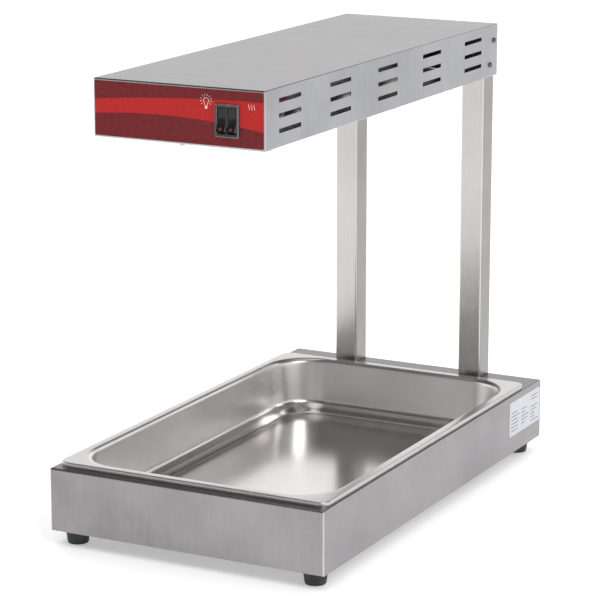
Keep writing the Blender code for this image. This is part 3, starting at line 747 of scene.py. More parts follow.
@dataclass(frozen=True)
class Moulded:
    """Moulded plastic or rubber with a spark-eroded grain and dull, dusty patches."""

    name: str
    colour: Point
    worn: Point
    rough: float
    grain: float = 2200.0

    def material(self) -> bpy.types.Material:
        """Make the material."""
        tree = Shader(self.name)
        fine = tree.noise(self.grain, 2.0, 0.6)
        dust = tree.noise(95.0, 4.0, 0.65, (1.3, 0.2, 0.9))
        return tree.finish(Base_Color=tree.blend(dust.ramp(0.48, 0.80), self.colour, self.worn),
                           Roughness=(fine - 0.5) * 0.12 + (dust - 0.5) * 0.22 + self.rough,
                           Normal=tree.bump(fine, 0.35, 0.00003))


@dataclass(frozen=True)
class BandedFilm:
    """Printed film over the hood's front: a dark ground crossed by one brighter curved band."""

    name: str
    middle: Vector
    half: Vector
    ground: Point = (0.200, 0.017, 0.020)
    band: Point = (0.520, 0.020, 0.019)

    def material(self) -> bpy.types.Material:
        """Make the material."""
        tree = Shader(self.name)
        left, top = self.middle.x - self.half.x, self.middle.z + self.half.z
        across = (tree.along("X") - left) / (2 * self.half.x)
        down = (top - tree.along("Z")) / (2 * self.half.z)
        upper = across * across * 0.18 - across * 0.35 + 0.34
        lower = across * across * 0.44 - across * 0.34 + 0.60
        inside = (down - upper).ramp(-0.004, 0.004) * (lower - down).ramp(-0.004, 0.004)
        fine = tree.noise(2600.0, 2.0)
        cloud = tree.noise(30.0, 3.0)
        grit = tree.noise(620.0, 4.0, 0.7).ramp(0.34, 0.66) * 0.8 + cloud * 0.2
        ground = tree.blend(grit, times(self.ground, 0.50), times(self.ground, 1.22))
        bright = tree.blend(grit, times(self.band, 0.84), times(self.band, 1.10))
        return tree.finish(Base_Color=tree.blend(inside, ground, bright), Specular_IOR_Level=0.22,
                           Roughness=(fine - 0.5) * 0.10 + (cloud - 0.5) * 0.08 + 0.42,
                           Normal=tree.bump(fine, 0.25, 0.00002))


@dataclass(frozen=True)
class SpeckledCeramic:
    """Unglazed ceramic with fine specks and a chalky surface."""

    name: str
    colour: Point = (0.74, 0.72, 0.66)
    speck: Point = (0.46, 0.42, 0.36)

    def material(self) -> bpy.types.Material:
        """Make the material."""
        tree = Shader(self.name)
        fine = tree.noise(1500.0)
        specks = tree.noise(700.0, 2.0).ramp(0.64, 0.72)
        return tree.finish(Base_Color=tree.blend(specks, self.colour, self.speck),
                           Roughness=(fine - 0.5) * 0.2 + 0.62, Normal=tree.bump(fine, 0.3, 0.00005))


@dataclass(frozen=True)
class FrostedGlass:
    """Frosted lamp glass, milky and slightly uneven."""

    name: str
    clear: Point = (0.86, 0.85, 0.82)
    milky: Point = (0.94, 0.93, 0.91)

    def material(self) -> bpy.types.Material:
        """Make the material."""
        tree = Shader(self.name)
        cloud = tree.noise(60.0)
        return tree.finish(Base_Color=tree.blend(cloud, self.clear, self.milky),
                           Roughness=(cloud - 0.5) * 0.2 + 0.30, Transmission_Weight=0.35, IOR=1.46,
                           Normal=tree.bump(tree.noise(900.0), 0.1, 0.00002))


@dataclass(frozen=True)
class PilotLens:
    """Red translucent lens with fine moulded cells of light and dark."""

    name: str
    light: Point = (0.38, 0.016, 0.012)
    dark: Point = (0.13, 0.003, 0.004)

    def material(self) -> bpy.types.Material:
        """Make the material."""
        tree = Shader(self.name)
        cells = tree.node("ShaderNodeTexVoronoi", {}, {"Vector": tree.where(), "Scale": 1500.0})
        return tree.finish(Base_Color=tree.blend(cells.ramp(0.1, 0.7), self.light, self.dark),
                           Roughness=cells * 0.15 + 0.12, Coat_Weight=0.4,
                           Normal=tree.bump(cells, 0.3, 0.00005))


FINISHES = {
    "hood": BrushedSteel("hood_steel", Across.Y, (0.465, 0.448, 0.456), (0.310, 0.296, 0.304),
        streak=0.34),
    # Darker copy of the hood steel for the side faces: painted shade on the sides.
    "hood_side": BrushedSteel("hood_side", Across.Y, (0.405, 0.407, 0.424), (0.295, 0.296, 0.310),
        streak=0.10),
    "base_top": BrushedSteel("base_steel_along", Across.X),
    # Side faces: the grain runs another way, and the darker tint is painted shade on the sides.
    "base_side": BrushedSteel("base_steel_side_shaded", Across.Z, (0.365, 0.354, 0.362), (0.245, 0.236, 0.242)),
    # Lighter steel for the narrow fold faces: a painted highlight along every bend.
    "fold": BrushedSteel("fold_steel_highlight", Across.XY, (0.60, 0.59, 0.60), (0.48, 0.47, 0.48), 0.22),
    # Post front and rear faces are much lighter, a painted reflection of the bright floor in front; the side
    # faces take a darker copy, painted shade.
    "post": BrushedSteel("post_steel", Across.X, (0.70, 0.672, 0.665), (0.57, 0.548, 0.54), 0.27, 0.10,
        0.00004),
    "post_side": BrushedSteel("post_side", Across.Y, (0.34, 0.332, 0.33), (0.25, 0.242, 0.24), 0.27),
    "inner": BrushedSteel("inner_steel", Across.X, (0.36, 0.35, 0.35), (0.27, 0.26, 0.26), 0.42),
    "pan": DrawnSteel("pan_steel"),
    # Darker, rougher copy of the pan steel for the outward and underside faces: painted shade on the skirt
    # and outer walls.
    "pan_outside": DrawnSteel("pan_outside", (0.60, 0.59, 0.58), (0.47, 0.46, 0.455), 0.24),
    "bright": PlainMetal("bright_sheet", (0.66, 0.66, 0.64), (0.54, 0.54, 0.52), 0.18, 90.0),
    "sheath": PlainMetal("heater_oxide", (0.22, 0.18, 0.15), (0.10, 0.085, 0.08), 0.48, 300.0),
    "dark_screw": PlainMetal("blackened_screw", (0.20, 0.20, 0.21), (0.10, 0.10, 0.11), 0.36),
    "zinc": PlainMetal("zinc_plate", (0.70, 0.70, 0.70), (0.50, 0.51, 0.53), 0.26),
    "rubber": Moulded("foot_rubber", (0.022, 0.023, 0.025), (0.060, 0.060, 0.062), 0.62),
    "black": Moulded("rocker_plastic", (0.008, 0.008, 0.009), (0.018, 0.018, 0.020), 0.14),
    # Lighter grey for the rockers' side faces: a painted reflection of the light at the right.
    "rocker_side": Moulded("rocker_side", (0.150, 0.156, 0.168), (0.200, 0.206, 0.218), 0.22),
    # Lighter grey for the bezel's rounded edges: a painted reflection along the frame.
    "bezel_edge": Moulded("bezel_edge", (0.150, 0.154, 0.162), (0.240, 0.244, 0.252), 0.24),
    "grey": Moulded("bezel_plastic", (0.026, 0.027, 0.030), (0.060, 0.062, 0.068), 0.24),
    "ink": Moulded("grey_ink", (0.07, 0.075, 0.085), (0.16, 0.165, 0.18), 0.50, 3000.0),
    "white_print": Moulded("white_ink", (0.86, 0.76, 0.75), (0.72, 0.58, 0.57), 0.50, 3000.0),
    "label": Moulded("label_film", (0.60, 0.615, 0.66), (0.53, 0.545, 0.59), 0.42, 1200.0),
    "ceramic": SpeckledCeramic("terminal_ceramic"),
    "glass": FrostedGlass("lamp_glass"),
    "lens": PilotLens("pilot_lens"),
    "red_sleeve": Moulded("red_sleeve", (0.52, 0.018, 0.022), (0.40, 0.020, 0.022), 0.40),
    "white_sleeve": Moulded("white_sleeve", (0.74, 0.73, 0.70), (0.60, 0.58, 0.54), 0.44),
    "grey_sleeve": Moulded("grey_sleeve", (0.16, 0.15, 0.145), (0.24, 0.23, 0.22), 0.58),
}


class Finishes:
    """Every finish of the warmer, made once and read by its short name."""

    def __init__(self) -> None:
        """Make the materials."""
        self._made = {name: finish.material() for name, finish in FINISHES.items()}

    def __getattr__(self, name: str) -> bpy.types.Material:
        """The material of that short name."""
        return self._made[name]


# ------------------------------------------------------------------------------------ repeats
def repeat_tree() -> Shape:
    """Tree that sets one part on every point of a mesh, turned to its facing and rolled at random."""
    tree = Shape("part_on_points", Part=bpy.types.Object, Finish=bpy.types.Material, Roll=float, Seed=int)
    part = tree.node("GeometryNodeObjectInfo", {}, {"Object": tree.given("Part")}, "Geometry")
    facing = tree.node("GeometryNodeInputNamedAttribute", {"data_type": "FLOAT_VECTOR"}, {"Name": "facing"})
    turn = tree.node("FunctionNodeAlignRotationToVector", {"axis": "Z"}, {"Vector": facing})
    angle = tree.random(0.0, tree.given("Roll"))
    roll = tree.node("FunctionNodeAxisAngleToRotation", {}, {"Axis": (0.0, 0.0, 1.0), "Angle": angle})
    both = tree.node("FunctionNodeRotateRotation", {"rotation_space": "LOCAL"}, {"Rotation": turn,
                                                                                 "Rotate By": roll})
    tree.end(tree.on_points(tree.given("Geometry"), part, Rotation=both), tree.given("Finish"))
    return tree


def repeat(tree: Shape, name: str, part: bpy.types.Object, spots: Sequence[tuple[Vector, Vector]],
           finish: bpy.types.Material, seed: int = 3) -> bpy.types.Object:
    """Set copies of a part at spots, as one plain mesh.

    Args:
        tree: The tree from repeat_tree.
        name: Name of the piece.
        part: The part, with its own +Z along each facing; it is removed.
        spots: Place and facing of each copy.
        finish: Their material.
        seed: Seed of the random turns about the facings.

    Returns:
        The piece.
    """
    points = bpy.data.meshes.new(name)
    points.from_pydata([spot for spot, _ in spots], [], [])
    facing = points.attributes.new("facing", "FLOAT_VECTOR", "POINT")
    for value, (_, direction) in zip(facing.data, spots):
        value.vector = direction
    obj = tree.make(name, points, Part=part, Finish=finish, Roll=6.28, Seed=seed)
    bpy.data.objects.remove(part, do_unlink=True)
    return obj


# ------------------------------------------------------------------------------------ base
@dataclass
class Base:
    """The folded base with its well, feet, gland and rating label."""

    looks: Finishes
    repeats: Shape
    sheet: float = 0.0010
    bend: float = 0.0022
    well_inset: float = 0.0090
    well_corner: float = 0.048
    lip: float = 0.0090
    post_gap: float = 0.0006
    gland_hole: float = 0.0071
    past: float = 0.01
    foot_top: float = 0.0135
    foot_bottom: float = 0.0115
    foot_recess: float = 0.0062
    label_film: float = 0.0002
    print_height: float = 0.00004
    columns: tuple[tuple[float, float, float, int, float, float, int], ...] = (
        (-0.88, 0.34, 0.26, 6, 0.0044, 0.50, 5), (-0.22, 0.26, 0.24, 5, 0.0044, 0.50, 9),
        (0.44, 0.68, 0.22, 2, 0.0040, 0.80, 4), (0.38, 0.08, 0.27, 5, 0.0044, 0.50, 7))

    def build(self) -> None:
        """Make the base's pieces."""
        self.cover()
        self.feet()
        self.gland()
        self.label()
        self.label_rows()

    def cover(self) -> None:
        """The box of folded sheet that takes the pan and the posts."""
        low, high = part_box("base_cover")
        looks = self.looks
        obj = folded("base_shell", low, high, (0, 0, -1), self.bend, self.sheet,
                     (looks.base_top, looks.base_side, looks.fold))
        # The fold faces take the lighter fold finish, a painted highlight along the bends.
        by_bend(obj, 2)
        pan_low, pan_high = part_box("food_pan")
        half_x = (pan_high.x - pan_low.x) / 2 - self.well_inset
        half_y = (pan_high.y - pan_low.y) / 2 - self.well_inset
        middle = Vector((0.0, (pan_low.y + pan_high.y) / 2, 0.0))

        def around(grow: float, z: float) -> list[Vector]:
            """A loop round the well, moved out and set at a height."""
            plan = ring(half_x + grow, half_y + grow, self.well_corner + grow, 14)
            return [middle + Vector((x, y, z)) for x, y in plan]

        top, foot = high.z - self.sheet / 2, high.z - self.lip
        lip = bmesh.new()
        loft(lip, [around(self.sheet, top), around(self.sheet, foot), around(-self.sheet, foot),
                   around(-self.sheet, top)], closed=True)
        shape_with(obj, lip, "UNION")
        bend = self.sheet * 0.9
        rims = [around(bend * (1 - cos(a)), high.z - bend * (1 - sin(a)))
                for a in (0.0, 0.4, 0.8, 1.2, pi / 2)]
        well = bmesh.new()
        loft(well, [around(0.0, foot - self.past), *rims, around(bend, high.z + self.past)])
        shape_with(obj, well)
        holes = bmesh.new()
        for side in SIDES:
            near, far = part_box(f"post_{side}")
            block(holes, (near.x - self.post_gap, near.y - self.post_gap, high.z - 0.005),
                  (far.x + self.post_gap, far.y + self.post_gap, high.z + 0.005))
        gland_low, gland_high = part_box("cord_gland")
        gland = Vector(((gland_low.x + gland_high.x) / 2, high.y, (gland_low.z + gland_high.z) / 2))
        turned(holes, [(0, self.past), (self.gland_hole, self.past), (self.gland_hole, -self.past),
                       (0, -self.past)], turned_at(gland))
        shape_with(obj, holes)
        # The side faces take the darker base_side finish: painted shade, with the grain turned.
        by_facing(obj, (1, 0, 0), 1)
        soften(obj)
        even(obj)
        place(obj, WARMER, "brushed_steel", "base_cover")

    def feet(self) -> None:
        """Four tapered rubber feet with a rounded tread and a screw recess."""
        nodes = [f"foot_{end}_{side}" for end in ENDS for side in SIDES]
        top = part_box(nodes[0])[1].z
        wide, tread, recess = self.foot_top, self.foot_bottom, self.foot_recess
        profile = [(wide, top), (wide + 0.0001, top - 0.0018), (wide - 0.0001, top - 0.0030),
                   (wide - 0.0009, top - 0.0075), (tread + 0.0002, 0.0024), (tread - 0.0001, 0.0010),
                   (tread - 0.0006, 0.0003), (tread - 0.0014, 0.0), (recess + 0.0004, 0.0), (recess, 0.0004),
                   (recess, 0.0080), (0.0027, 0.0080), (0.0027, top)]
        part = turned_piece("foot_master", profile, Matrix.Identity(4), 40, degrees=28.0)
        spots = []
        for node in nodes:
            middle = span(node)[0]
            spots.append((Vector((middle.x, middle.y, 0.0)), Vector((0, 0, 1))))
        obj = repeat(self.repeats, "rubber_feet", part, spots, self.looks.rubber)
        place(obj, WARMER, "black_rubber", *nodes)

    def gland(self) -> None:
        """Ribbed gland for the mains cord, with its bore left open."""
        spot = span("cord_gland")[0]
        spot.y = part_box("base_cover")[1].y
        flange, neck, bore = 0.0095, 0.0068, 0.0037
        profile = [(flange - 0.0002, 0.0034), (flange, 0.0031), (flange, 0.0003), (neck, 0.0003),
                   (neck, -0.0013), (flange, -0.0013), (flange, -0.0055), (neck, -0.0085), (bore, -0.0085),
                   (bore, 0.0040), (bore + 0.0005, 0.0045), (neck - 0.0004, 0.0045), (neck, 0.0041),
                   (neck, 0.0034)]
        obj = turned_piece("gland_ring", profile, turned_at(spot, -pi / 2), 32, self.looks.black)
        place(obj, WARMER, "black_plastic", "cord_gland")

    def label(self) -> None:
        """Rating label: a pale film with rounded corners."""
        middle, half = span("rating_plate")
        spot = Vector((middle.x - half.x, middle.y, middle.z))
        obj = film("label_sheet", [ring(half.y, half.z, 0.003, 8)], self.label_film,
                   Matrix.Translation(spot) @ RIGHTWARD, self.looks.label)
        place(obj, WARMER, "white_plate", "rating_plate")

    def label_rows(self) -> None:
        """Plain printed bars on the label, in place of words."""
        tree = Shape("printed_rows", Count=int, Pitch=float, Length=float, Height=float, Shortest=float,
                     Seed=int, Corner=Vector)
        length = tree.given("Length")
        rows = tree.node("GeometryNodeMeshLine", {}, {"Count": tree.given("Count"),
                                                      "Offset": tree.join(y=tree.given("Pitch") * -1.0)})
        bar = tree.box(tree.join(length, tree.given("Height"), self.print_height))
        bar = tree.moved(bar, tree.join(length / 2.0))
        scale = tree.join(tree.random(tree.given("Shortest"), 1.0), 1.0, 1.0)
        copies = tree.on_points(rows, bar, Scale=scale)
        tree.end(tree.moved(copies, tree.given("Corner"), (pi / 2, 0.0, pi / 2)), self.looks.ink)
        middle, half = span("rating_plate")
        surface = middle.x - half.x + self.label_film + self.print_height / 2
        for number, (left, up, reach, count, pitch, shortest, seed) in enumerate(self.columns, 1):
            bars = tree.make(f"label_rows_{number}", Count=count, Pitch=pitch, Length=reach * 2 * half.y,
                             Height=0.0009, Shortest=shortest, Seed=seed,
                             Corner=(surface, middle.y + left * half.y, middle.z + up * half.z))
            place(bars, WARMER, "white_plate")


# ------------------------------------------------------------------------------------ pan
@dataclass
class Pan:
    """The drawn food pan that lifts out of the base; a row is inset, drop and corner radius."""

    looks: Finishes
    sheet: float = 0.0008
    corner_steps: int = 20
    rows: tuple[Point, ...] = (
        (0.0, 0.0047, 0.0130), (0.0, 0.0032, 0.0130), (0.0, 0.0016, 0.0130), (0.00012, 0.0008, 0.0129),
        (0.00045, 0.00030, 0.0126), (0.00095, 0.00006, 0.0122), (0.0016, 0.0, 0.0120),
        (0.0050, 0.0, 0.0300), (0.0088, 0.0, 0.0520), (0.0100, 0.00022, 0.0525), (0.0110, 0.0009, 0.0530),
        (0.0118, 0.0019, 0.0536), (0.0124, 0.0032, 0.0540), (0.0128, 0.0050, 0.0540),
        (0.0132, 0.0090, 0.0537), (0.0155, 0.0300, 0.0510), (0.0176, 0.0490, 0.0484),
        (0.0181, 0.0515, 0.0478), (0.0190, 0.0536, 0.0470), (0.0204, 0.0552, 0.0456),
        (0.0235, 0.0575, 0.0430), (0.0262, 0.0602, 0.0405), (0.0285, 0.0628, 0.0385),
        (0.0303, 0.0642, 0.0367), (0.0330, 0.06495, 0.0340), (0.0370, 0.0650, 0.0300))

    def build(self) -> None:
        """Loft the pan from its section and give it its sheet thickness."""
        low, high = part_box("food_pan")
        half_x, half_y = (high.x - low.x) / 2, (high.y - low.y) / 2
        middle = Vector((0.0, (low.y + high.y) / 2, high.z))
        bm = bmesh.new()
        loops = [[middle + Vector((x, y, -drop))
                  for x, y in ring(half_x - inset, half_y - inset, corner, self.corner_steps)]
                 for inset, drop, corner in self.rows]
        floor = bm.faces.new(loft(bm, loops, caps=False)[-1])
        bm.normal_update()
        bmesh.ops.recalc_face_normals(bm, faces=bm.faces)
        if floor.normal.z < 0:
            bmesh.ops.reverse_faces(bm, faces=bm.faces)
        obj = piece("pan_shell", bm, (self.looks.pan, self.looks.pan_outside), 50.0, turn=False)
        thicken(obj, self.sheet)
        # Outward and underside faces take the darker pan_outside finish, which is painted shade.
        for face in obj.data.polygons:
            away = face.center - middle
            away.z = 0.0
            if face.normal.z < -0.3 or (face.normal.dot(away) > 0.0 and face.normal.z < 0.3):
                face.material_index = 1
        soften(obj, 50.0)
        even(obj)
        place(obj, "pan", "polished_steel", "food_pan")


# ------------------------------------------------------------------------------------ posts
@dataclass
class Posts:
    """The two rectangular tubes that carry the hood."""

    looks: Finishes
    corner: float = 0.0022
    wall: float = 0.0012

    def build(self) -> None:
        """Make each post as a tube with rounded corners."""
        for side in SIDES:
            middle, half = span(f"post_{side}")
            outside = ring(half.x, half.y, self.corner, 6)
            inside = ring(half.x - self.wall, half.y - self.wall, self.corner - self.wall, 6)
            levels = ((outside, -half.z), (outside, half.z), (inside, half.z), (inside, -half.z))
            bm = bmesh.new()
            loft(bm, [[middle + Vector((x, y, z)) for x, y in plan] for plan, z in levels], closed=True)
            obj = piece(f"post_tube_{side}", bm, (self.looks.post, self.looks.post_side))
            # Front and rear faces keep the lighter post steel, a painted reflection; the side faces take the
            # darker copy, painted shade.
            by_facing(obj, (1, 0, 0), 1)
            even(obj)
            place(obj, WARMER, "brushed_steel", f"post_{side}")


# ------------------------------------------------------------------------------------ hood
@dataclass
class Hood:
    """The vented hood: cover with its vents, and the printed film with its signs."""

    looks: Finishes
    sheet: float = 0.0010
    bend: float = 0.0016
    lip: float = 0.0120
    post_gap: float = 0.0006
    slot_length: float = 0.0495
    slot_height: float = 0.0048
    slot_corner: float = 0.0010
    slot_pitch_y: float = 0.1150
    slot_pitch_z: float = 0.0156
    slot_groups: int = 5
    slot_rows: int = 3
    slot_middle_y: float = -0.0078
    slot_middle_up: float = 0.0325
    film: float = 0.0003
    ink: float = 0.00006

    def build(self) -> None:
        """Make the hood's pieces."""
        self.cover()
        self.slot_rims()
        self.front_film()

    def cover(self) -> None:
        """Top, front and sides in one folded sheet, with slots, a switch opening and in-turned edges."""
        low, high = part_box("head_cover")
        obj = folded("hood_shell", low, high, (0, 1, 0), self.bend, self.sheet,
                     (self.looks.hood, self.looks.fold, self.looks.hood_side))
        # The fold faces take the lighter fold finish, a painted highlight along the bends.
        by_bend(obj, 1)
        # The side faces take the darker hood_side finish, which is painted shade.
        by_facing(obj, (1, 0, 0), 2)
        cut_block(obj, ((low.x + self.lip, low.y + self.lip, low.z - 0.005),
                        (high.x - self.lip, high.y + 0.02, low.z + 0.005)))
        posts = [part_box(f"post_{side}") for side in SIDES]
        cut_block(obj, *(((near.x - self.post_gap, near.y - self.post_gap, low.z - 0.0045),
                          (far.x + self.post_gap, high.y + 0.03, low.z + 0.0045)) for near, far in posts))
        vents = bmesh.new()
        plan = ring(self.slot_length / 2, self.slot_height / 2, self.slot_corner, 4)
        for group in range(self.slot_groups):
            for row in range(self.slot_rows):
                y = self.slot_middle_y + (group - (self.slot_groups - 1) / 2) * self.slot_pitch_y
                z = low.z + self.slot_middle_up + (row - (self.slot_rows - 1) / 2) * self.slot_pitch_z
                matrix = Matrix.Translation((0, y, z)) @ RIGHTWARD
                loft(vents, [[matrix @ Vector((along, up, x)) for along, up in plan]
                             for x in (low.x - 0.01, high.x + 0.01)])
        shape_with(obj, vents)
        near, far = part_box("switch_housing")
        cut_block(obj, ((near.x + 0.0011, low.y - 0.01, near.z + 0.0014),
                        (far.x - 0.0011, low.y + 0.01, far.z - 0.0014)))
        soften(obj)
        even(obj)
        place(obj, WARMER, "brushed_steel", "head_cover")

    def slot_rims(self) -> None:
        """Fine punched rim round every vent slot, on both sides."""
        low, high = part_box("head_cover")
        tree = Shape("slot_rims", Length=float, Height=float, Corner=float, Rim=float, Groups=int, Rows=int,
                     Reach=float, Rise=float, Middle=Vector)
        rim = tree.wire_loop(tree.given("Length"), tree.given("Height"), 4, tree.given("Rim"), 6)
        grid = tree.node("GeometryNodeMeshGrid", {}, {
            "Size X": tree.given("Reach"), "Size Y": tree.given("Rise"), "Vertices X": tree.given("Groups"),
            "Vertices Y": tree.given("Rows")})
        copies = tree.on_points(grid, rim)
        tree.end(tree.moved(copies, tree.given("Middle"), (pi / 2, 0.0, pi / 2)), self.looks.bright)
        for side, x in zip(SIDES, (low.x, high.x)):
            rims = tree.make(f"slot_rims_{side}", Length=self.slot_length, Height=self.slot_height,
                             Corner=self.slot_corner, Rim=0.00016, Groups=self.slot_groups,
                             Rows=self.slot_rows, Reach=self.slot_pitch_y * (self.slot_groups - 1),
                             Rise=self.slot_pitch_z * (self.slot_rows - 1),
                             Middle=(x, self.slot_middle_y, low.z + self.slot_middle_up))
            place(rims, WARMER, "brushed_steel")

    def front_film(self) -> None:
        """The banded film, cut out round the switch, with plain lamp and heat signs."""
        middle, half = span("front_decal")
        finish = BandedFilm("front_film", middle.copy(), half).material()
        switch = span("switch_housing")[0] - middle
        middle.y += half.y
        hole = [(x + switch.x, z + switch.z) for x, z in ring(0.0126, 0.0156, 0.0005, 3)]
        outlines = [ring(half.x, half.z, 0.0015, 6), hole]
        obj = film("film_front", outlines, self.film, turned_at(middle), finish)
        place(obj, WARMER, "maroon_decal", "front_decal")
        middle.y -= self.film
        self.lamp_sign(middle + Vector((switch.x - 0.0243, 0.0, switch.z + 0.0190)))
        self.heat_sign(middle + Vector((switch.x + 0.0278, 0.0, switch.z + 0.0158)))

    def lamp_sign(self, spot: Vector) -> None:
        """A bulb outline with a filled cap and a ring of rays.

        Args:
            spot: Its middle, on the film.
        """
        glass, line = 0.0029, 0.00026
        angles = [i * pi / 24 - 0.9 for i in range(38)]
        outside, inside = ([(radius * cos(a), radius * sin(a)) for a in angles]
                           for radius in (glass + line, glass - line))
        outline = [(0.0015, -0.0050), *outside, (-0.0015, -0.0050), (-0.0010, -0.0050), *reversed(inside),
                   (0.0010, -0.0050)]
        cap = [(0.0014, -0.0054), (0.0014, -0.0074), (0.0008, -0.0084), (-0.0008, -0.0084),
               (-0.0014, -0.0074), (-0.0014, -0.0054)]
        obj = film("lamp_sign_bulb", [outline, cap], self.ink, turned_at(spot), self.looks.white_print)
        place(obj, WARMER, "maroon_decal")
        tree = Shape("rays", Count=int, Radius=float, Start=float, Sweep=float, Ray=Vector, Middle=Vector)
        arc = tree.node("GeometryNodeCurveArc", {}, {
            "Resolution": tree.given("Count"), "Radius": tree.given("Radius"),
            "Start Angle": tree.given("Start"), "Sweep Angle": tree.given("Sweep")})
        points = tree.node("GeometryNodeCurveToPoints", {"mode": "EVALUATED"}, {"Curve": arc})
        outward = tree.node("FunctionNodeAlignRotationToVector", {"axis": "X"},
                            {"Vector": tree.node("GeometryNodeInputPosition")})
        copies = tree.on_points(points, tree.box(tree.given("Ray")), Rotation=outward)
        tree.end(tree.moved(copies, tree.given("Middle"), (pi / 2, 0.0, 0.0)), self.looks.white_print)
        rays = tree.make("lamp_sign_rays", Count=10, Radius=0.0060, Start=radians(-33), Sweep=radians(246),
                         Ray=(0.0020, 0.00040, self.ink), Middle=tuple(spot + Vector((0, -0.00004, 0))))
        place(rays, WARMER, "maroon_decal")

    def heat_sign(self, spot: Vector) -> None:
        """Three upright wavy lines.

        Args:
            spot: Its middle, on the film.
        """
        pitch, swing, height, line, steps = 0.0030, 0.0006, 0.0056, 0.00024, 16
        outlines = []
        for column in (-1, 0, 1):
            middle = [(column * pitch + swing * sin(i / steps * 2 * pi), (i / steps - 0.5) * height)
                      for i in range(steps + 1)]
            outlines.append([(x - line, y) for x, y in middle] + [(x + line, y) for x, y in reversed(middle)])
        obj = film("heat_sign", outlines, self.ink, turned_at(spot), self.looks.white_print)
        place(obj, WARMER, "maroon_decal")


# ------------------------------------------------------------------------------------ switch
@dataclass
class Switch:
    """The double switch: bezel, two dished rockers and their pilot lenses."""

    looks: Finishes
    rest: float = radians(8)
    lens_slope: float = radians(9)
    pocket_half: float = 0.0135
    pocket_depth: float = 0.0160
    pocket_gap: float = 0.0003
    half_height: float = 0.0122
    edge: float = 0.0009
    dish_steps: int = 20

    def build(self) -> None:
        """Make the switch's pieces."""
        self.bezel()
        for name in ("light", "heat"):
            self.rocker(name)
            self.lens(name)

    def bezel(self) -> None:
        """Bezel with a rounded, stepped frame and two pockets."""
        low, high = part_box("switch_housing")
        middle, half = span("switch_housing")
        middle.y = 0.0
        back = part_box("front_decal")[0].y - 0.0001
        steps = ((0.0015, high.y, 0.0006), (0.0015, back, 0.0006), (0.0, back, 0.0016),
                 (0.0, low.y + 0.0012, 0.0016), (0.0002, low.y + 0.0006, 0.0015),
                 (0.0006, low.y + 0.00018, 0.0013), (0.0011, low.y, 0.0010), (0.0021, low.y, 0.0007),
                 (0.0026, low.y + 0.0008, 0.0006))
        bm = bmesh.new()
        loft(bm, [[middle + Vector((x, y, z)) for x, z in ring(half.x - inset, half.z - inset, corner, 6)]
                  for inset, y, corner in steps])
        obj = piece("switch_bezel", bm, (self.looks.grey, self.looks.bezel_edge))
        # The rounded edge faces take the lighter bezel_edge finish, a painted reflection.
        by_bend(obj, 1)
        pockets = []
        for name in ("light", "heat"):
            near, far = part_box(f"rocker_{name}")
            axis_z = self.axis(name).z
            pockets.append(((near.x - self.pocket_gap, low.y - 0.004, axis_z - self.pocket_half),
                            (far.x + self.pocket_gap, low.y + self.pocket_depth, axis_z + self.pocket_half)))
        cut_block(obj, *pockets, bevel=0.0004)
        soften(obj)
        even(obj)
        place(obj, WARMER, "grey_plastic", "switch_housing")

    def axis(self, name: str) -> Vector:
        """A point on a rocker's hinge line."""
        joint = next(j for j in frame["joints"] if j["name"] == f"rocker_{name}_tilt")
        return Vector(joint["pos_m"])

    def rocker(self, name: str) -> None:
        """One rocker with a dished front and rounded sides.

        Args:
            name: Which rocker, light or heat.
        """
        tilt = turned_at(self.axis(name), -self.rest)
        half = span(f"rocker_{name}")[1].x
        outline = []
        for i in range(self.dish_steps + 1):
            z = self.half_height * (1 - 2 * i / self.dish_steps)
            rise = 0.0012 if z > 0 else 0.00275
            outline.append((-0.0034 - rise * (abs(z) / self.half_height) ** 1.6, z))
        outline += [(0.0, -0.0114), (0.0058, -0.0050), (0.0058, 0.0050), (0.0, 0.0114)]
        edge = self.edge
        sections = ((edge, -half), (edge * 0.3, -half + edge * 0.3), (0.0, -half + edge), (0.0, half - edge),
                    (edge * 0.3, half - edge * 0.3), (edge, half))
        bm = bmesh.new()
        loft(bm, [[tilt @ Vector((x, y * (1 - inset * 60), z * (1 - inset * 30))) for y, z in outline]
                  for inset, x in sections])
        obj = piece(f"rocker_cap_{name}", bm, (self.looks.black, self.looks.rocker_side), 30.0)
        # The side faces take the lighter rocker_side finish, a painted reflection.
        by_facing(obj, (1, 0, 0), 1)
        place(obj, f"rocker_{name}_body", "black_plastic", f"rocker_{name}")

    def lens(self, name: str) -> None:
        """Domed pilot lens near the rocker's lower end, in a raised collar.

        Args:
            name: Which rocker, light or heat.
        """
        matrix = turned_at(span(f"lens_{name}")[0], pi / 2 - self.rest - self.lens_slope)
        body = f"rocker_{name}_body"
        dome = [(0.0, 0.00075), (0.0006, 0.00072), (0.0011, 0.00060), (0.0015, 0.00038), (0.0018, 0.00005),
                (0.0019, -0.0004), (0.0019, -0.0016), (0.0, -0.0016)]
        place(turned_piece(f"pilot_lens_{name}", dome, matrix, 24, self.looks.lens), body, "red_lens",
              f"lens_{name}")
        collar = [(0.0026, 0.00025), (0.0024, 0.00042), (0.0021, 0.00042), (0.0020, 0.00025),
                  (0.0020, -0.0016), (0.0026, -0.0016)]
        place(turned_piece(f"lens_collar_{name}", collar, matrix, 24, self.looks.black), body,
              "black_plastic")


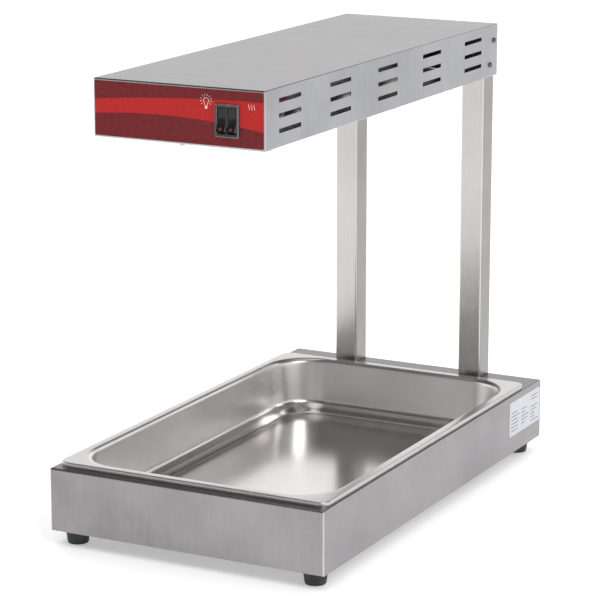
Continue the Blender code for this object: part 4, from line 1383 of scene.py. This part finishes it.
# ------------------------------------------------------------------------------------ heater bay
@dataclass
class HeaterBay:
    """Lamps, heater rod and wire guard under the hood, and the wires beside them."""

    looks: Finishes
    glass: float = 0.0159
    neck: float = 0.0128
    socket_bore: float = 0.0136
    socket: float = 0.0170
    rod_end: float = 0.0110
    guard_corner: float = 0.010
    cross_wires: int = 9
    cross_pitch: float = 0.046
    sleeve: float = 0.0013
    red_route: tuple[Point, ...] = (
        (0.0613, -0.2640, 0.4909), (0.0700, -0.2590, 0.4965), (0.0850, -0.2525, 0.4992),
        (0.0908, -0.2420, 0.4984), (0.0898, -0.2300, 0.4995), (0.0780, -0.2230, 0.5060),
        (0.0560, -0.2240, 0.5095), (0.0400, -0.2300, 0.5084))
    white_route: tuple[Point, ...] = (
        (0.0533, -0.2640, 0.4789), (0.0673, -0.2540, 0.4749), (0.0840, -0.2340, 0.4790),
        (0.0900, -0.2295, 0.4890), (0.0840, -0.2220, 0.4990), (0.0640, -0.2120, 0.5060))

    def build(self) -> None:
        """Make the pieces of the heater bay."""
        for end in ENDS:
            self.lamp(end)
        self.rod()
        self.guard()
        self.wires()

    def lamp(self, end: str) -> None:
        """A tubular lamp and its ceramic holder.

        Args:
            end: Which end, front or rear.
        """
        low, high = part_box(f"lamp_holder_{end}")
        lamp_low, lamp_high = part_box(f"lamp_{end}")
        front = end == "front"
        spot = (low + high) / 2
        spot.y = low.y if front else high.y
        matrix = turned_at(spot, -pi / 2 if front else pi / 2)
        depth, length = high.y - low.y, (lamp_high.y - low.y if front else high.y - lamp_low.y)
        glass, neck, bore, collar = self.glass, self.neck, self.socket_bore, self.socket
        tip = [(glass * sin(a), length - glass + glass * cos(a)) for a in (i * pi / 24 for i in range(13))]
        lamp = [*tip, (glass, 0.052), (glass - 0.0006, 0.047), (neck + 0.0008, 0.039), (neck, 0.036),
                (neck, 0.008), (0.006, 0.0052), (0.0, 0.0052)]
        place(turned_piece(f"lamp_bulb_{end}", lamp, matrix, 36, self.looks.glass), WARMER, "frosted_glass",
              f"lamp_{end}")
        holder = [(0.0, 0.0044), (bore, 0.0044), (bore, depth - 0.0005), (bore + 0.0005, depth),
                  (collar - 0.0006, depth), (collar, depth - 0.0006), (collar, 0.0240),
                  (collar - 0.0007, 0.0232), (collar - 0.0007, 0.0210), (collar, 0.0202), (collar, 0.0020),
                  (0.0145, 0.0), (0.0, 0.0)]
        place(turned_piece(f"lamp_socket_{end}", holder, matrix, 36, self.looks.ceramic), WARMER,
              "white_ceramic", f"lamp_holder_{end}")

    def rod(self) -> None:
        """Sheathed heater rod with threaded studs at its ends."""
        middle, size = span("heater_rod")
        half, radius = size.y, size.x
        body = half - self.rod_end
        stud = [(0.0, half), (0.0012, half), (0.0016, half - 0.0005)]
        for turn in range(8):
            top = half - 0.0008 - turn * 0.0011
            stud += [(0.0018, top), (0.0014, top - 0.00055)]
        stud += [(0.0018, body + 0.0004), (radius - 0.0004, body), (radius, body - 0.0005)]
        profile = stud + [(r, -z) for r, z in reversed(stud)]
        place(turned_piece("heater_tube", profile, turned_at(middle), 24, self.looks.sheath), WARMER,
              "heater_sheath", "heater_rod")

    def guard(self) -> None:
        """Wire loop with cross wires over the mouth."""
        middle, half = span("wire_guard")
        tree = Shape("wire_guard_frame", Width=float, Length=float, Corner=float, Wire=float, Crosses=int,
                     Pitch=float, Middle=Vector)
        crosses, pitch, reach = tree.given("Crosses"), tree.given("Pitch"), tree.given("Width") * 0.5
        outer = tree.wire_loop(tree.given("Width"), tree.given("Length"), 8, tree.given("Wire"), 12)
        line = tree.node("GeometryNodeCurvePrimitiveLine", {}, {"Start": tree.join(reach * -1.0),
                                                                "End": tree.join(reach)})
        cross = tree.wire(line, tree.given("Wire") * 0.9, 12)
        row = tree.node("GeometryNodeMeshLine", {}, {
            "Count": crosses, "Start Location": tree.join(y=(crosses - 1.0) * -0.5 * pitch),
            "Offset": tree.join(y=pitch)})
        joined = tree.node("GeometryNodeJoinGeometry", {}, {"Geometry": outer})
        tree.tree.links.new(tree.on_points(row, cross).socket, joined.socket.node.inputs["Geometry"])
        tree.end(tree.moved(joined, tree.given("Middle")), self.looks.zinc)
        obj = tree.make("guard_wires", Width=2 * (half.x - half.z), Length=2 * (half.y - half.z),
                        Corner=self.guard_corner, Wire=half.z, Crosses=self.cross_wires,
                        Pitch=self.cross_pitch, Middle=tuple(middle))
        place(obj, WARMER, "zinc_screw", "wire_guard")

    def wires(self) -> None:
        """Smooth sleeves of the two wires that pass the front vents."""
        for colour, finish, route in (("red", self.looks.red_sleeve, self.red_route),
                                      ("white", self.looks.white_sleeve, self.white_route)):
            bm = bmesh.new()
            sweep(bm, smooth_route(route, 0.0012), self.sleeve)
            place(piece(f"sleeve_{colour}", bm, (finish,)), WARMER, f"{colour}_insulation", f"wire_{colour}")


# ------------------------------------------------------------------------------------ screws
@dataclass
class Screws:
    """Every screw: a domed head with a cross recess, set by one tree at the CAD screws' places.

    A size is the head's radius, the shaft's radius, the head's height and the shaft's length.
    """

    looks: Finishes
    repeats: Shape
    small: tuple[float, float, float, float] = (0.0032, 0.0017, 0.0018, 0.0060)
    large: tuple[float, float, float, float] = (0.0050, 0.0023, 0.0028, 0.0130)

    def build(self) -> None:
        """Make the small screws and the foot screws."""
        self.group("case_screws", ("head_rear", "plate", "post"), self.looks.zinc, self.small, 11)
        self.group("side_screws", ("side",), self.looks.dark_screw, self.small, 8)
        self.group("foot_screws", ("foot",), self.looks.zinc, self.large, 5)

    def facing(self, node: str) -> Vector:
        """Direction in which a screw's head looks.

        Args:
            node: Name of the CAD screw.

        Returns:
            The direction.
        """
        if node.startswith(("plate", "foot")):
            return Vector((0, 0, -1))
        if node.startswith("side"):
            return Vector((-1 if "left" in node else 1, 0, 0))
        return Vector((0, 1, 0))

    def group(self, name: str, kinds: tuple[str, ...], finish: bpy.types.Material,
              size: tuple[float, float, float, float], seed: int) -> None:
        """Make one size of screw.

        Args:
            name: Name of the piece.
            kinds: What the names of its CAD screws start with.
            finish: Its material.
            size: Its size.
            seed: Seed of the random turns.
        """
        head, shaft, rise, length = size
        dome = ((0.0, 1.0), (0.30, 0.985), (0.55, 0.92), (0.76, 0.78), (0.90, 0.56), (0.98, 0.30),
                (1.0, 0.14), (0.985, 0.0))
        profile = [(head * out, rise * up) for out, up in dome]
        profile += [(shaft, 0.0), (shaft, -length), (0.0, -length)]
        part = turned_piece(f"{name}_master", profile, Matrix.Identity(4), 20, degrees=40.0)
        reach, slit, floor = head * 0.56, head * 0.13, rise * 0.35
        for x, y in ((reach, slit), (slit, reach)):
            cut_block(part, ((-x, -y, floor), (x, y, rise * 2)))
        nodes = [n for n in sorted(frame["nodes"]) if "screw" in n and n.startswith(kinds)]
        spots = []
        for node in nodes:
            facing = self.facing(node)
            middle, half = span(node)
            spots.append((middle + facing * (abs(half.dot(facing)) - rise), facing))
        obj = repeat(self.repeats, name, part, spots, finish, seed)
        place(obj, WARMER, "zinc_screw", *nodes)


# ------------------------------------------------------------------------------------ kept nodes
@dataclass
class KeptNodes:
    """CAD nodes whose shape is right and that only take a finish."""

    looks: Finishes

    def build(self) -> None:
        """Dress the kept nodes."""
        looks = self.looks
        finishes = {"base_bottom": looks.inner, "head_lower_plate": looks.hood, "head_rear_panel": looks.hood,
                    "heater_clip_front": looks.zinc, "heater_clip_rear": looks.zinc,
                    "reflector": looks.bright, "base_terminal_block": looks.ceramic,
                    "head_terminal_block": looks.ceramic,
                    "supply_lead": looks.grey_sleeve}
        for node, finish in finishes.items():
            for slot in frame["nodes"][node].material_slots:
                slot.material = finish
            LOG.info("%s keeps its CAD shape in %s", node, finish.name)


# ------------------------------------------------------------------------------------ studio
@dataclass
class Studio:
    """Pale floor, soft lights and the camera."""

    spot: Point = (1.3224, -2.5753, 0.9230)
    heading: Point = (-0.44728, 0.86355, -0.23286)
    lens: float = 157.8
    wall: float = 1.16
    room: float = 0.30
    ceiling: float = 0.08
    opening: float = 0.85
    floor_reach: float = 16.0
    glow_from: float = 4.0
    glow_to: float = 8.0
    near_glow: float = 0.338
    far_glow: float = 0.90

    def build(self) -> None:
        """Set up the studio."""
        scene = bpy.context.scene
        scene.view_settings.view_transform = "Standard"
        self.camera(scene)
        self.floor()
        self.world(scene)
        self.panel("overhead", (0.0, 1.6, 4.2), (0.0, 1.6, 0.0), (9.5, 9.5), 280.0, False)
        self.panel("right", (2.30, -1.56, 2.10), (0.0, 0.0, 0.20), (1.7, 1.4), 27.0, True)

    def camera(self, scene: bpy.types.Scene) -> None:
        """Put the camera in place and make it the scene's own.

        Args:
            scene: The scene.
        """
        data = bpy.data.cameras.new("camera")
        data.lens = self.lens
        data.sensor_width = 36.0
        data.clip_end = 50.0
        obj = bpy.data.objects.new("camera", data)
        obj.location = self.spot
        obj.rotation_euler = Vector(self.heading).to_track_quat("-Z", "Y").to_euler()
        scene.collection.objects.link(obj)
        scene.camera = obj

    def floor(self) -> None:
        """A wide pale floor that glows far out, where the overhead light no longer reaches."""
        bm = bmesh.new()
        bmesh.ops.create_grid(bm, x_segments=1, y_segments=1, size=self.floor_reach)
        tree = Shader("pale_floor")
        colour = tree.blend(tree.noise(1.2), (0.93, 0.93, 0.93), (0.95, 0.95, 0.95))
        distance = tree.node("ShaderNodeVectorMath", {"operation": "LENGTH"}, {0: tree.where()}, "Value")
        far = distance.ramp(self.glow_from, self.glow_to)
        glow = tree.blend(far, (self.near_glow,) * 3, (self.far_glow,) * 3)
        finish = tree.finish(Base_Color=colour, Roughness=0.6, Emission_Color=glow, Emission_Strength=1.0)
        piece("floor", bm, (finish,), turn=False)

    def world(self, scene: bpy.types.Scene) -> None:
        """A pale wall behind and to the sides, a dimmer room in front and a bright opening overhead.

        Args:
            scene: The scene.
        """
        world = bpy.data.worlds.new("sky")
        world.use_nodes = True
        tree = Graph(world.node_tree)
        spot = tree.node("ShaderNodeTexCoord", output="Generated")
        behind = tree.split(spot, "Y").ramp(-0.80, -0.46)
        above = tree.split(spot, "Z").ramp(0.27, 0.52)
        overhead = tree.split(spot, "Z").ramp(0.88, 0.97)
        power = (behind * (1.0 - above) * (self.wall - self.room) + above * (self.ceiling - self.room)
                 + overhead * (self.opening - self.ceiling) + self.room)
        background = tree.node("ShaderNodeBackground", {}, {"Color": (1.0, 1.0, 1.0, 1.0), "Strength": power})
        out = world.node_tree.nodes.new("ShaderNodeOutputWorld")
        world.node_tree.links.new(background.socket, out.inputs["Surface"])
        scene.world = world

    def panel(self, name: str, spot: Point, aim: Point, size: tuple[float, float], power: float,
              mirrored: bool) -> None:
        """A soft rectangular light.

        Args:
            name: Its name.
            spot: Where it stands.
            aim: What it faces.
            size: Width and height.
            power: Power in watts.
            mirrored: Whether it shows in polished surfaces.
        """
        data = bpy.data.lights.new(name, "AREA")
        data.shape = "RECTANGLE"
        data.size, data.size_y = size
        data.energy = power
        obj = bpy.data.objects.new(name, data)
        obj.location = spot
        obj.visible_glossy = mirrored
        obj.rotation_euler = (Vector(aim) - Vector(spot)).to_track_quat("-Z", "Y").to_euler()
        bpy.context.scene.collection.objects.link(obj)


def main() -> None:
    """Build the studio and every sub-assembly in order."""
    logging.basicConfig(level=logging.INFO, format="%(name)s: %(message)s")
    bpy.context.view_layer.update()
    looks = Finishes()
    repeats = repeat_tree()
    for part in (Studio(), Base(looks, repeats), Pan(looks), Posts(looks), Hood(looks), Switch(looks),
                 HeaterBay(looks), Screws(looks, repeats), KeptNodes(looks)):
        part.build()
        LOG.info("%s is built", type(part).__name__)


if __name__ == "__main__":
    main()
